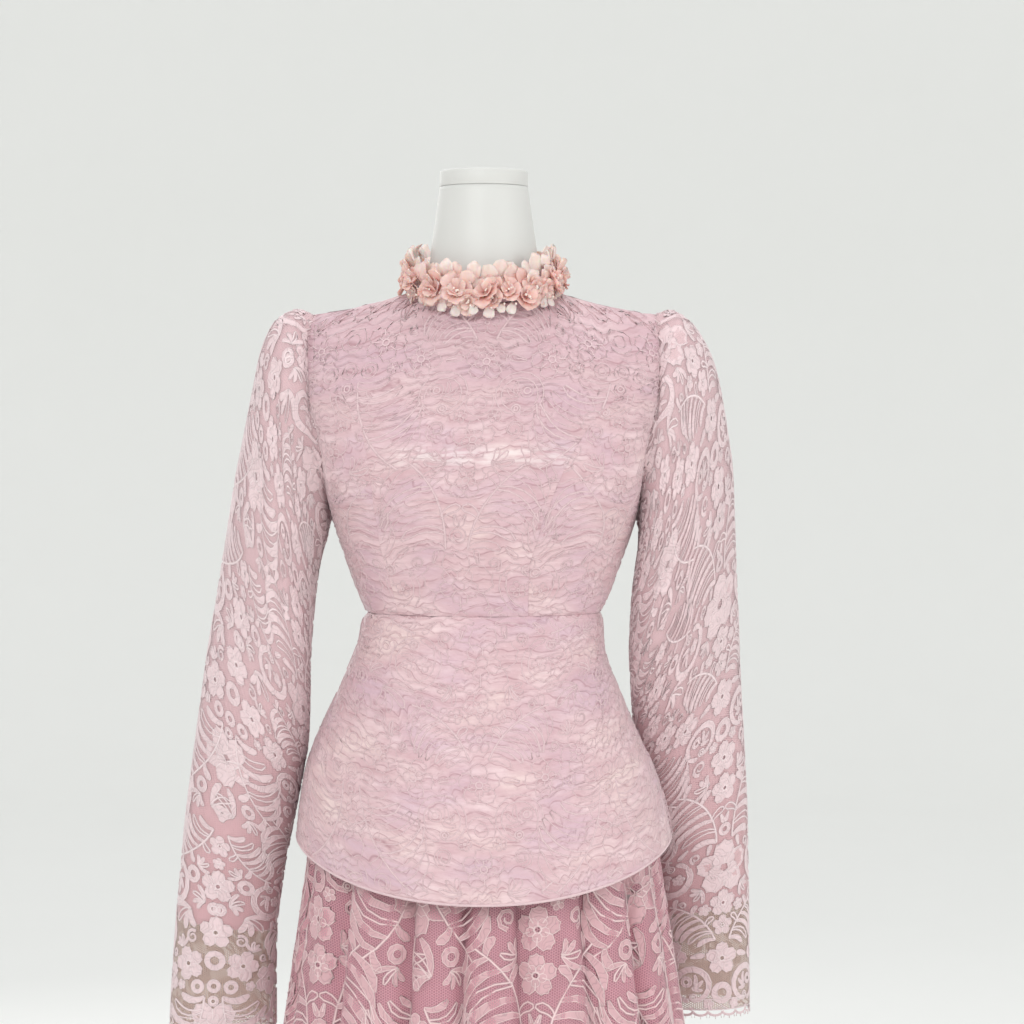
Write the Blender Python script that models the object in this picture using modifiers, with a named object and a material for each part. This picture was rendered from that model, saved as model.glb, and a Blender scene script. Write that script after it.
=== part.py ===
"""Lace peplum top and long gathered skirt, worn on a limbless dress form.

Plain solids for collision, mass and mounts. Metres, +Z up, the front faces -Y
and +X is the wearer's left. Each cloth piece is a wall made from rows of points
that are worked out from the tables below.
"""

from collections import namedtuple
import math

import bmesh
import bpy
import numpy as np

COLLECTION = "peplum_top_and_skirt_set"

# Walls and the gaps between pieces
PANEL_WALL = 0.0012
LACE_WALL = 0.0010
LINING_WALL = 0.0009
BAND_WALL = 0.0020
SEAM = 0.0006
LINING_INSET = 0.0013
SLEEVE_LINING_INSET = 0.0023
WAIST_RETREAT = 0.0006
SHOULDER_RETREAT = 0.06
FORM_INSET = 0.0042
CHEST_INSET = 0.0085

# Bodice rows, from the waist seam to the neckline and shoulder
BodiceRow = namedtuple(
    "BodiceRow", "y_centre z_centre x_edge y_edge z_edge fullness seam_left seam_right"
)
FRONT_ROWS = (
    BodiceRow(-0.0850, 1.060, 0.1170, 0.000, 1.060, 2.10, 0.044, 0.084),
    BodiceRow(-0.0885, 1.082, 0.1265, 0.001, 1.082, 2.15, 0.044, 0.088),
    BodiceRow(-0.0960, 1.112, 0.1375, 0.003, 1.112, 2.25, 0.045, 0.097),
    BodiceRow(-0.1080, 1.152, 0.1510, 0.005, 1.152, 2.40, 0.057, 0.103),
    BodiceRow(-0.1150, 1.188, 0.1550, -0.028, 1.181, 2.50, 0.071, 0.108),
    BodiceRow(-0.1175, 1.222, 0.1580, -0.046, 1.209, 2.50, 0.086, 0.112),
    BodiceRow(-0.1130, 1.252, 0.1630, -0.052, 1.238, 2.40, 0.104, 0.119),
    BodiceRow(-0.1030, 1.282, 0.1700, -0.050, 1.267, 2.20, 0.132, 0.138),
    BodiceRow(-0.0915, 1.310, 0.1730, -0.042, 1.296, 2.00, 0.173, 0.173),
    BodiceRow(-0.0780, 1.334, 0.1740, -0.028, 1.322, 1.85, 0.174, 0.174),
    BodiceRow(-0.0680, 1.352, 0.1725, -0.013, 1.343, 1.75, 0.1725, 0.1725),
    BodiceRow(-0.0600, 1.365, 0.1700, 0.000, 1.357, 1.70, 0.170, 0.170),
)
BACK_ROWS = (
    BodiceRow(0.0790, 1.060, 0.1170, 0.000, 1.060, 2.10, 0, 0),
    BodiceRow(0.0805, 1.082, 0.1265, 0.001, 1.082, 2.15, 0, 0),
    BodiceRow(0.0840, 1.112, 0.1375, 0.003, 1.112, 2.20, 0, 0),
    BodiceRow(0.0910, 1.152, 0.1510, 0.005, 1.152, 2.35, 0, 0),
    BodiceRow(0.0965, 1.192, 0.1550, 0.038, 1.181, 2.40, 0, 0),
    BodiceRow(0.0995, 1.230, 0.1590, 0.054, 1.209, 2.40, 0, 0),
    BodiceRow(0.0995, 1.266, 0.1640, 0.060, 1.238, 2.30, 0, 0),
    BodiceRow(0.0960, 1.300, 0.1690, 0.058, 1.267, 2.15, 0, 0),
    BodiceRow(0.0890, 1.330, 0.1720, 0.049, 1.296, 2.00, 0, 0),
    BodiceRow(0.0790, 1.354, 0.1730, 0.033, 1.322, 1.85, 0, 0),
    BodiceRow(0.0680, 1.373, 0.1720, 0.016, 1.343, 1.75, 0, 0),
    BodiceRow(0.0580, 1.388, 0.1700, 0.000, 1.357, 1.70, 0, 0),
)
UNDERARM_ROW = 3
SEAM_END_ROW = 8
SIDE_PANEL_END = 7.95
BLEND_ROW = 6
CHEST_ROWS = (5, 9)
TOP_ROW = len(FRONT_ROWS) - 1
FINE = 81
FRONT_COLUMNS, SIDE_COLUMNS = 15, 6

# Neckline, shoulder and collar
NECK_X, NECK_Y, NECK_Z = 0.060, 0.004, 1.384
NECK_SHARE = 0.4
SHOULDER_DIP = 0.003
BAND_LIFT = 0.0011
BAND_HEIGHT = 0.020
BAND_LEAN = 0.95
BAND_STEPS = 40
BACK_OPENING = math.radians(0.6)

# Flower trim round the collar, two staggered rows of blossoms
BLOSSOMS_PER_ROW = 18
BLOSSOM_ROWS = (0.30, 0.74)
BLOSSOM_ASPECT = 1.9
BLOSSOM_RADIUS = 0.62
BLOSSOM_CUP = 0.34
PETAL_NOTCH = 0.16
ROW_TURN = 1.3
TRIM_STEPS = 108
TRIM_LEVELS = 7
TRIM_LIFT = 0.0022
TRIM_FLOOR = 0.0035
TRIM_RELIEF = 0.0235
TRIM_DROOP = 0.0070
TRIM_TOP_FRONT, TRIM_TOP_SIDE, TRIM_TOP_BACK = 1.409, 1.414, 1.417

# Peplum rows, as shares of the drop from the waist seam to the hem
PeplumRow = namedtuple("PeplumRow", "drop half front back shift")
PEPLUM_ROWS = (
    PeplumRow(0.00, 0.1172, 0.0852, 0.0792, 0.0000),
    PeplumRow(0.05, 0.1203, 0.0895, 0.0835, -0.0018),
    PeplumRow(0.13, 0.1225, 0.0950, 0.0905, -0.0030),
    PeplumRow(0.22, 0.1285, 0.1035, 0.1000, -0.0050),
    PeplumRow(0.32, 0.1375, 0.1130, 0.1115, -0.0050),
    PeplumRow(0.47, 0.1525, 0.1275, 0.1295, -0.0065),
    PeplumRow(0.58, 0.1635, 0.1380, 0.1420, -0.0065),
    PeplumRow(0.70, 0.1740, 0.1485, 0.1540, -0.0050),
    PeplumRow(0.85, 0.1825, 0.1590, 0.1650, -0.0025),
    PeplumRow(1.00, 0.1880, 0.1660, 0.1720, -0.0010),
)
WAIST_Z = 1.060
HEM_FRONT_Z, HEM_SIDE_Z, HEM_BACK_Z = 0.791, 0.838, 0.800
HEM_CURVE = 1.5
PEPLUM_FULLNESS = 2.1
PEPLUM_STEPS = 16

# Skirt rows, from the waistband to the hem
SkirtRow = namedtuple("SkirtRow", "z half front back fold")
SKIRT_ROWS = (
    SkirtRow(1.0290, 0.1155, 0.0862, 0.0802, 0.0006),
    SkirtRow(1.0100, 0.1185, 0.0915, 0.0870, 0.0012),
    SkirtRow(0.9850, 0.1265, 0.1005, 0.0980, 0.0026),
    SkirtRow(0.9400, 0.1430, 0.1155, 0.1180, 0.0045),
    SkirtRow(0.8800, 0.1610, 0.1310, 0.1390, 0.0070),
    SkirtRow(0.8000, 0.1715, 0.1420, 0.1550, 0.0105),
    SkirtRow(0.6480, 0.1915, 0.1650, 0.1820, 0.0145),
    SkirtRow(0.2000, 0.2520, 0.2310, 0.2480, 0.0280),
    SkirtRow(0.0400, 0.2700, 0.2500, 0.2660, 0.0340),
)
SKIRT_FULLNESS = 2.1
LINING_SHARE = 0.55
LINING_DROP = 0.0035
LINING_HEM_Z = 0.065
LINING_DROP_ROWS = 4
LACE_FOLD_STEPS, LINING_FOLD_STEPS = 4, 2
FOLD_CURVE = 0.8
BAND_TOP_Z, BAND_FOOT_Z = 1.0480, 1.0296
WAISTBAND_STEPS = 48
ROUND_FULLNESS = 2.0

# Creases of the gathered skirt, degrees from the front towards the wearer's left,
# and how far each slants, in degrees for each metre below the peplum
Crease = namedtuple("Crease", "angle slant")
CREASES = (
    Crease(-90, 0), Crease(-74, -4), Crease(-48, 5), Crease(-22, 0), Crease(-4, -12),
    Crease(10, 2), Crease(32, 6), Crease(54, -3), Crease(74, 4), Crease(90, 0),
    Crease(107, 5), Crease(127, -4), Crease(149, 3), Crease(169, -5), Crease(191, 4),
    Crease(213, -3), Crease(234, 5), Crease(253, -4), Crease(270, 0),
)
CREASE_START_Z = 0.85
WIDE_FOLD = 24.0

# Sleeve rings after the armhole: outer and inner points seen from the front,
# half the depth, and how far back the ring's middle lies
SleeveRing = namedtuple("SleeveRing", "outer_x outer_z inner_x inner_z depth back")
SLEEVE_RIGHT_ROWS = (
    SleeveRing(0.1880, 1.3600, 0.1570, 1.1360, 0.0580, 0.006),
    SleeveRing(0.2070, 1.3520, 0.1615, 1.1220, 0.0610, 0.006),
    SleeveRing(0.2190, 1.3270, 0.1655, 1.1050, 0.0620, 0.006),
    SleeveRing(0.2295, 1.2820, 0.1690, 1.0800, 0.0610, 0.006),
    SleeveRing(0.2400, 1.2360, 0.1720, 1.0500, 0.0590, 0.006),
    SleeveRing(0.2510, 1.1820, 0.1745, 1.0140, 0.0570, 0.006),
    SleeveRing(0.2710, 1.0520, 0.1780, 0.9340, 0.0530, 0.010),
    SleeveRing(0.2810, 0.9880, 0.1830, 0.8960, 0.0515, 0.012),
    SleeveRing(0.2985, 0.8660, 0.1985, 0.8180, 0.0485, 0.016),
    SleeveRing(0.3050, 0.8080, 0.2050, 0.7800, 0.0470, 0.018),
    SleeveRing(0.3100, 0.7570, 0.2095, 0.7430, 0.0460, 0.020),
    SleeveRing(0.3145, 0.6980, 0.2110, 0.6960, 0.0450, 0.022),
    SleeveRing(0.3180, 0.6400, 0.2110, 0.6400, 0.0440, 0.024),
)
SLEEVE_LEFT_ROWS = (
    SleeveRing(0.1900, 1.3590, 0.1555, 1.1360, 0.0580, 0.006),
    SleeveRing(0.2080, 1.3480, 0.1545, 1.1200, 0.0610, 0.008),
    SleeveRing(0.2230, 1.3230, 0.1520, 1.1000, 0.0620, 0.012),
    SleeveRing(0.2350, 1.2860, 0.1490, 1.0730, 0.0610, 0.016),
    SleeveRing(0.2440, 1.2430, 0.1475, 1.0420, 0.0590, 0.022),
    SleeveRing(0.2515, 1.1900, 0.1475, 1.0070, 0.0570, 0.030),
    SleeveRing(0.2575, 1.0620, 0.1545, 0.9310, 0.0530, 0.062),
    SleeveRing(0.2610, 0.9970, 0.1590, 0.8940, 0.0515, 0.082),
    SleeveRing(0.2705, 0.8700, 0.1670, 0.8180, 0.0485, 0.106),
    SleeveRing(0.2730, 0.8100, 0.1700, 0.7800, 0.0470, 0.114),
    SleeveRing(0.2745, 0.7580, 0.1725, 0.7430, 0.0460, 0.121),
    SleeveRing(0.2755, 0.6980, 0.1750, 0.6960, 0.0450, 0.127),
    SleeveRing(0.2765, 0.6400, 0.1770, 0.6400, 0.0440, 0.131),
)
SLEEVE_STEPS = 16
CUFF_ROW = 11
ARMHOLE_GAP = 0.00095
UNDERARM_GAP = 0.00060
CUFF_SCALLOP = 0.004

# Dress form: hip rings under the skirt, neck rings, cap, pole and base
FormRing = namedtuple("FormRing", "z half front back")
HIP_RINGS = (
    FormRing(1.0300, 0.1120, 0.0825, 0.0765),
    FormRing(1.0100, 0.1125, 0.0845, 0.0800),
    FormRing(0.9850, 0.1180, 0.0920, 0.0895),
    FormRing(0.9400, 0.1315, 0.1045, 0.1070),
    FormRing(0.8800, 0.1450, 0.1160, 0.1240),
    FormRing(0.8200, 0.1530, 0.1230, 0.1320),
    FormRing(0.7850, 0.1490, 0.1190, 0.1280),
    FormRing(0.7780, 0.1400, 0.1110, 0.1190),
)
NECK_RINGS = ((1.415, 0.0535), (1.452, 0.0484), (1.4838, 0.0440))
NECK_COLLAR_GAP = 0.0006
HALF_COLUMNS = 10
CAP_RADIUS, CAP_FOOT_Z, CAP_TOP_Z, CAP_BEVEL = 0.0440, 1.4841, 1.5000, 0.0018
POLE_RADIUS, BASE_RADIUS, BASE_TOP_Z = 0.0140, 0.1700, 0.0120
HUB_RADIUS, HUB_TOP_Z, EDGE_ROUND = 0.0300, 0.0450, 0.0030
MERGE_DISTANCE = 0.00001

# Surface colours and finishes
LACE_PINK = (0.68, 0.43, 0.44, 1.0)
SATIN_PINK = (0.72, 0.40, 0.44, 1.0)
BLOSSOM_PINK = (0.85, 0.50, 0.45, 1.0)
FORM_WHITE = (0.86, 0.86, 0.85, 1.0)
STEEL_GREY = (0.62, 0.63, 0.64, 1.0)


def clear_scene():
    """Remove every object of the startup scene."""
    for thing in list(bpy.data.objects):
        bpy.data.objects.remove(thing)


def material(name, colour, roughness, metallic=0.0):
    """A Principled material with the given colour and finish."""
    made = bpy.data.materials.new(name)
    made.use_nodes = True
    surface = made.node_tree.nodes["Principled BSDF"]
    surface.inputs["Base Color"].default_value = colour
    surface.inputs["Roughness"].default_value = roughness
    surface.inputs["Metallic"].default_value = metallic
    made.diffuse_color = colour
    return made


def add_object(name, mesh, colour, roughness, metallic=0.0):
    """Put a mesh in the collection with a material of its own."""
    thing = bpy.data.objects.new(name, mesh)
    thing.data.materials.append(material(f"{name}_surface", colour, roughness, metallic))
    bpy.data.collections[COLLECTION].objects.link(thing)
    return thing


def smooth(rows, position):
    """A table row at a fractional position, on a Catmull-Rom curve through the rows."""
    table = np.array(rows, dtype=float)
    last = len(table) - 1
    first = min(int(position), last - 1)
    share = position - first
    before, here = table[max(first - 1, 0)], table[first]
    there, after = table[first + 1], table[min(first + 2, last)]
    leave, arrive = (there - before) / 2, (after - here) / 2
    square, cube = share ** 2, share ** 3
    value = (
        here * (2 * cube - 3 * square + 1)
        + there * (3 * square - 2 * cube)
        + leave * (cube - 2 * square + share)
        + arrive * (cube - square)
    )
    return type(rows[0])(*value)


def evenly(points, count):
    """The same curve as points spaced evenly along its length."""
    steps = np.linalg.norm(np.diff(points, axis=0), axis=1)
    length = np.concatenate([[0.0], np.cumsum(steps)])
    wanted = np.linspace(0.0, length[-1], count)
    return np.column_stack([np.interp(wanted, length, points[:, k]) for k in range(3)])


def half_row(row):
    """A bodice row from the centre line to its edge, as part of a superellipse."""
    angle = np.linspace(0.0, math.pi / 2, 4 * FINE)
    power = 2.0 / row.fullness
    across, forward = np.sin(angle) ** power, np.cos(angle).clip(0.0) ** power
    x = row.x_edge * across
    y = row.y_edge + (row.y_centre - row.y_edge) * forward
    z = row.z_centre + (row.z_edge - row.z_centre) * np.sin(angle) ** 2
    return evenly(np.column_stack([x, y, z]), FINE)


def neckline(angle, rows):
    """Neckline point at an angle from the centre line of the front or the back."""
    top = rows[-1]
    turn = math.cos(angle)
    return np.array([
        NECK_X * math.sin(angle),
        NECK_Y + (top.y_centre - NECK_Y) * turn,
        NECK_Z + (top.z_centre - NECK_Z) * turn,
    ])


def top_line(rows):
    """The neckline quarter and then the shoulder, with the neck point at NECK_SHARE."""
    top = rows[-1]
    neck_point = np.array([NECK_X, NECK_Y, NECK_Z])
    shoulder = np.array([top.x_edge, top.y_edge, top.z_edge])
    line = []
    for share in np.linspace(0.0, 1.0, FINE):
        if share < NECK_SHARE:
            line.append(neckline(share / NECK_SHARE * math.pi / 2, rows))
            continue
        along = (share - NECK_SHARE) / (1.0 - NECK_SHARE)
        point = neck_point + (shoulder - neck_point) * along
        point[2] -= SHOULDER_DIP * math.sin(math.pi * along)
        line.append(point)
    return np.array(line)


def half_curve(rows, position):
    """Centre line to edge at a row position, bent towards the neckline near the top."""
    curve = half_row(smooth(rows, position))
    rise = max(0.0, (position - BLEND_ROW) / (TOP_ROW - BLEND_ROW))
    return curve + (top_line(rows) - half_row(rows[-1])) * rise ** 3


def bodice_point(rows, position, share):
    """Bodice point, with share from -1 at the wearer's right edge to 1 at the left."""
    curve = half_curve(rows, position)
    places = np.linspace(0.0, 1.0, FINE)
    point = np.array([np.interp(abs(share), places, curve[:, k]) for k in range(3)])
    if share < 0:
        point[0] = -point[0]
    return point


def seam_share(position, side):
    """Share of the front row at which the princess seam of one side runs."""
    if position >= SEAM_END_ROW:
        return 1.0
    first = int(position)
    shares = []
    for index in (first, first + 1):
        curve = half_curve(FRONT_ROWS, index)
        row = FRONT_ROWS[index]
        seam_x = row.seam_left if side > 0 else row.seam_right
        shares.append(float(np.interp(seam_x, curve[:, 0], np.linspace(0.0, 1.0, FINE))))
    return shares[0] + (shares[1] - shares[0]) * (position - first)


def row_length(rows, position):
    """Length of a row from the centre line to its edge."""
    curve = half_curve(rows, position)
    return float(np.linalg.norm(np.diff(curve, axis=0), axis=1).sum())


def grid_faces(rows, columns, closed):
    """Quads of a grid of points, closed round its columns if asked."""
    last = columns if closed else columns - 1
    faces = []
    for row in range(rows - 1):
        for column in range(last):
            beside = (column + 1) % columns
            start, above = row * columns, (row + 1) * columns
            faces.append((start + column, start + beside, above + beside, above + column))
    return faces


def cloth_wall(name, grid, wall, colour, closed=False, roughness=0.6):
    """A closed cloth wall through a grid of points, thickened by Solidify."""
    points = np.array(grid)
    rows, columns = points.shape[:2]
    mesh = bpy.data.meshes.new(name)
    mesh.from_pydata(points.reshape(-1, 3).tolist(), [], grid_faces(rows, columns, closed))
    thing = add_object(name, mesh, colour, roughness)
    solid = thing.modifiers.new("Wall", "SOLIDIFY")
    solid.thickness = wall
    solid.offset = 0.0
    solid.use_even_offset = True
    return thing


def offset_grid(grid, distance):
    """A tube grid moved along its normals, outwards where the distance is positive."""
    points = np.array(grid)
    around = np.roll(points, -1, axis=1) - np.roll(points, 1, axis=1)
    along = np.gradient(points, axis=0)
    normal = np.cross(around, along)
    normal /= np.linalg.norm(normal, axis=2, keepdims=True)
    outward = points - points.mean(axis=1, keepdims=True)
    if (normal * outward).sum() < 0:
        normal = -normal
    return points + normal * distance


def build_bodice():
    """Centre front, two side fronts and two backs of the top."""
    top = TOP_ROW - SHOULDER_RETREAT
    first_step = WAIST_RETREAT / (FRONT_ROWS[1].z_centre - FRONT_ROWS[0].z_centre)
    positions = [first_step] + list(range(1, TOP_ROW)) + [top]

    centre = []
    for position in positions:
        inset = SEAM / 2 / row_length(FRONT_ROWS, position)
        right = -seam_share(position, -1) + (inset if position < SEAM_END_ROW else 0)
        left = seam_share(position, 1) - (inset if position < SEAM_END_ROW else 0)
        shares = np.linspace(right, left, FRONT_COLUMNS)
        centre.append([bodice_point(FRONT_ROWS, position, share) for share in shares])
    cloth_wall("bodice_front", centre, PANEL_WALL, LACE_PINK)

    side_positions = positions[:SEAM_END_ROW] + [SIDE_PANEL_END]
    for side, label in ((1, "left"), (-1, "right")):
        panel = []
        for position in side_positions:
            inset = SEAM / 2 / row_length(FRONT_ROWS, position)
            outer = 1.0 - (inset if position <= UNDERARM_ROW else 0)
            shares = np.linspace(seam_share(position, side) + inset, outer, SIDE_COLUMNS)
            panel.append([bodice_point(FRONT_ROWS, position, side * s) for s in shares])
        cloth_wall(f"bodice_side_front_{label}", panel, PANEL_WALL, LACE_PINK)

    for side, label in ((1, "left"), (-1, "right")):
        panel = []
        for position in positions:
            inset = SEAM / 2 / row_length(BACK_ROWS, position)
            outer = 1.0 - (inset if position <= UNDERARM_ROW else 0)
            shares = np.linspace(inset, outer, HALF_COLUMNS + 1)
            panel.append([bodice_point(BACK_ROWS, position, side * s) for s in shares])
        cloth_wall(f"bodice_back_{label}", panel, PANEL_WALL, LACE_PINK)


def collar_point(angle, lift, lean):
    """Point over the neckline at an angle from the front, raised and leaned inwards."""
    rows = FRONT_ROWS if math.cos(angle) >= 0 else BACK_ROWS
    turn = angle if math.cos(angle) >= 0 else math.pi - angle
    point = neckline(turn, rows)
    return np.array([
        point[0] * lean,
        NECK_Y + (point[1] - NECK_Y) * lean,
        point[2] + lift,
    ])


def build_collar():
    """Stand collar band, open at the centre back."""
    angles = np.linspace(-math.pi + BACK_OPENING, math.pi - BACK_OPENING, BAND_STEPS + 1)
    lower = [collar_point(angle, BAND_LIFT, 1.0) for angle in angles]
    upper = [collar_point(angle, BAND_HEIGHT, BAND_LEAN) for angle in angles]
    cloth_wall("collar_band", [lower, upper], PANEL_WALL, LACE_PINK)


def blossom_relief(angle, level):
    """Relief of the two staggered rows of five-petalled blossoms, from 0 to 1."""
    pitch = 2 * math.pi / BLOSSOMS_PER_ROW
    best = 0.0
    for row, middle in enumerate(BLOSSOM_ROWS):
        shift = 0.5 * row
        across = (angle / pitch + shift) - round(angle / pitch + shift)
        upward = (level - middle) * BLOSSOM_ASPECT
        reach = math.hypot(across, upward)
        turn = math.atan2(upward, across)
        petals = math.cos(5 * turn + ROW_TURN * row)
        edge = BLOSSOM_RADIUS * (1.0 - PETAL_NOTCH + PETAL_NOTCH * petals)
        share = reach / edge
        if share < 1.0:
            best = max(best, (1.0 - share ** 4) * (1.0 - BLOSSOM_CUP + BLOSSOM_CUP * share))
    return best


def trim_top(angle):
    """Height of the trim's upper edge at an angle from the front."""
    turn = math.cos(angle)
    far = TRIM_TOP_FRONT if turn > 0 else TRIM_TOP_BACK
    return TRIM_TOP_SIDE + (far - TRIM_TOP_SIDE) * turn ** 2


def build_flower_trim():
    """Trim sewn round the collar: blossoms raised over a plain inner wall."""
    angles = np.linspace(-math.pi + BACK_OPENING, math.pi - BACK_OPENING, TRIM_STEPS + 1)
    stand_off = PANEL_WALL / 2 + SEAM
    shape = bmesh.new()
    sections = []
    for angle in angles:
        base = collar_point(angle, TRIM_LIFT, 1.0)
        outward = np.array([math.sin(angle), -math.cos(angle), 0.0])
        inner = base + outward * stand_off
        summit = trim_top(angle)
        foot = base[2] - TRIM_DROOP * max(0.0, math.cos(angle)) ** 2
        section = [inner]
        for level in np.linspace(0.0, 1.0, TRIM_LEVELS):
            reach = TRIM_FLOOR + TRIM_RELIEF * blossom_relief(angle, level)
            point = inner + outward * reach
            point[2] = foot + (summit - foot) * level
            section.append(point)
        section.append(np.array([inner[0], inner[1], summit]))
        sections.append([shape.verts.new(point) for point in section])
    loft(shape, sections)
    shape.faces.new(sections[0])
    shape.faces.new(sections[-1])
    finish_shape(shape, "flower_trim", BLOSSOM_PINK, 0.5)


def loft(shape, rings):
    """Faces between neighbouring closed rings, which may share vertices."""
    for lower, upper in zip(rings, rings[1:]):
        count = len(lower)
        for index in range(count):
            beside = (index + 1) % count
            corners = [lower[index], lower[beside], upper[beside], upper[index]]
            unique = list(dict.fromkeys(corners))
            if len(unique) > 2:
                shape.faces.new(unique)


def finish_shape(shape, name, colour, roughness, metallic=0.0):
    """Turn a built shape into an object with its faces outwards."""
    bmesh.ops.recalc_face_normals(shape, faces=shape.faces[:])
    mesh = bpy.data.meshes.new(name)
    shape.to_mesh(mesh)
    shape.free()
    return add_object(name, mesh, colour, roughness, metallic)


def oval_point(angle, half, front, back, fullness, shift=0.0):
    """Point of a ring at an angle from the front, deeper at the front or the back."""
    power = 2.0 / fullness
    across, along = math.sin(angle), math.cos(angle)
    depth = front if along >= 0 else back
    x = shift + half * math.copysign(abs(across) ** power, across)
    y = -depth * math.copysign(abs(along) ** power, along)
    return x, y


def peplum_hem(angle):
    """Height of the peplum's hem, which is lowest at the front and the back."""
    turn = math.cos(angle)
    far = HEM_FRONT_Z if turn > 0 else HEM_BACK_Z
    return HEM_SIDE_Z + (far - HEM_SIDE_Z) * abs(turn) ** HEM_CURVE


def peplum_point(angle, position):
    """Peplum point at an angle from the front and a position in its table."""
    row = smooth(PEPLUM_ROWS, position)
    x, y = oval_point(angle, row.half, row.front, row.back, PEPLUM_FULLNESS, row.shift)
    start = WAIST_Z - WAIST_RETREAT
    return np.array([x, y, start + (peplum_hem(angle) - start) * row.drop])


def build_peplum():
    """Front and back peplum, joined at the side seams."""
    for label, middle in (("front", 0.0), ("back", math.pi)):
        angles = np.linspace(middle - math.pi / 2, middle + math.pi / 2, PEPLUM_STEPS + 1)
        grid = [
            trimmed([peplum_point(angle, position) for angle in angles], SEAM / 2)
            for position in range(len(PEPLUM_ROWS))
        ]
        cloth_wall(f"peplum_{label}", grid, PANEL_WALL, LACE_PINK)


def crease_angle(crease, z):
    """Angle of a crease at a height, in degrees."""
    return crease.angle + crease.slant * max(0.0, CREASE_START_Z - z)


def skirt_ring(position, share, drop, first, last, steps, hem_z=0.0):
    """Points of a skirt row between two creases, over rounded folds."""
    row = smooth(SKIRT_ROWS, position)
    z = max(row.z, hem_z)
    points = []
    for start, end in zip(CREASES[first:last], CREASES[first + 1:last + 1]):
        low, high = crease_angle(start, z), crease_angle(end, z)
        size = min(1.0, (high - low) / WIDE_FOLD)
        for step in range(steps):
            along = step / steps
            swell = row.fold * share * size * math.sin(math.pi * along) ** FOLD_CURVE
            points.append((low + (high - low) * along, swell))
    points.append((crease_angle(CREASES[last], z), 0.0))
    ring = []
    for degrees, swell in points:
        grow = swell - drop
        x, y = oval_point(
            math.radians(degrees), row.half + grow, row.front + grow, row.back + grow,
            SKIRT_FULLNESS,
        )
        ring.append(np.array([x, y, z]))
    return ring


def trimmed(ring, gap):
    """A ring's end points moved in along the cloth, for the side seams."""
    ring[0] = ring[0] + (ring[1] - ring[0]) * gap / np.linalg.norm(ring[1] - ring[0])
    ring[-1] = ring[-1] + (ring[-2] - ring[-1]) * gap / np.linalg.norm(ring[-2] - ring[-1])
    return ring


def build_skirt():
    """Waistband, gathered lace panels and the satin lining panels below it."""
    middle = len(CREASES) // 2
    rows = range(len(SKIRT_ROWS))
    for label, first, last in (("front", 0, middle), ("back", middle, len(CREASES) - 1)):
        lace = [skirt_ring(row, 1.0, 0.0, first, last, LACE_FOLD_STEPS) for row in rows]
        lining = []
        for row in rows:
            drop = LINING_INSET + LINING_DROP * min(1.0, row / LINING_DROP_ROWS)
            lining.append(skirt_ring(
                row, LINING_SHARE, drop, first, last, LINING_FOLD_STEPS, LINING_HEM_Z
            ))
        gap = SEAM
        cloth_wall(f"skirt_lace_{label}", [trimmed(r, gap) for r in lace], LACE_WALL, LACE_PINK)
        cloth_wall(
            f"skirt_lining_{label}", [trimmed(r, gap) for r in lining], LINING_WALL,
            SATIN_PINK, roughness=0.35,
        )
    top = SKIRT_ROWS[0]
    shrink = LINING_INSET / 2
    angles = np.linspace(0.0, 2 * math.pi, WAISTBAND_STEPS, endpoint=False)
    half, front, back = top.half - shrink, top.front - shrink, top.back - shrink
    band = []
    for z in (BAND_FOOT_Z, BAND_TOP_Z):
        spots = [oval_point(angle, half, front, back, ROUND_FULLNESS) for angle in angles]
        band.append([np.array([x, y, z]) for x, y in spots])
    cloth_wall("skirt_waistband", band, BAND_WALL, SATIN_PINK, closed=True, roughness=0.4)


def armhole_ring(side):
    """Sleeve ring on the armhole, from the shoulder round the front and the back."""
    half = SLEEVE_STEPS // 2
    ring = []
    for step in range(SLEEVE_STEPS):
        front = step <= half
        lowered = step if front else SLEEVE_STEPS - step
        rows = FRONT_ROWS if front else BACK_ROWS
        position = TOP_ROW - lowered * (TOP_ROW - UNDERARM_ROW) / half
        point = bodice_point(rows, position, 1.0)
        point[0] += ARMHOLE_GAP + UNDERARM_GAP * lowered / half
        point[0] *= side
        ring.append(point)
    return ring


def sleeve_ring(ring, side):
    """Oval sleeve ring through its outer and inner points."""
    outer = np.array([ring.outer_x, ring.outer_z])
    inner = np.array([ring.inner_x, ring.inner_z])
    middle, reach = (outer + inner) / 2, (outer - inner) / 2
    points = []
    for step in range(SLEEVE_STEPS):
        angle = 2 * math.pi * step / SLEEVE_STEPS
        x, z = middle + reach * math.cos(angle)
        points.append(np.array([side * x, ring.back - ring.depth * math.sin(angle), z]))
    return points


def build_sleeves():
    """Lace sleeves over satin linings, with unlined scalloped cuffs."""
    for label, side, table in (("left", 1, SLEEVE_LEFT_ROWS), ("right", -1, SLEEVE_RIGHT_ROWS)):
        rings = [armhole_ring(side)] + [sleeve_ring(ring, side) for ring in table]
        arm, cuff = np.array(rings[:CUFF_ROW + 1]), np.array(rings[CUFF_ROW:])
        lining = offset_grid(arm, -SLEEVE_LINING_INSET)
        direction = cuff[1] - cuff[0]
        direction /= np.linalg.norm(direction, axis=1, keepdims=True)
        cuff[0] += direction * SEAM
        cuff[-1, ::2, 2] -= CUFF_SCALLOP
        cloth_wall(f"sleeve_{label}", arm, LACE_WALL, LACE_PINK, closed=True)
        cloth_wall(f"sleeve_lining_{label}", lining, LINING_WALL, SATIN_PINK,
                   closed=True, roughness=0.35)
        cloth_wall(f"cuff_{label}", cuff, LACE_WALL, LACE_PINK, closed=True)


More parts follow.
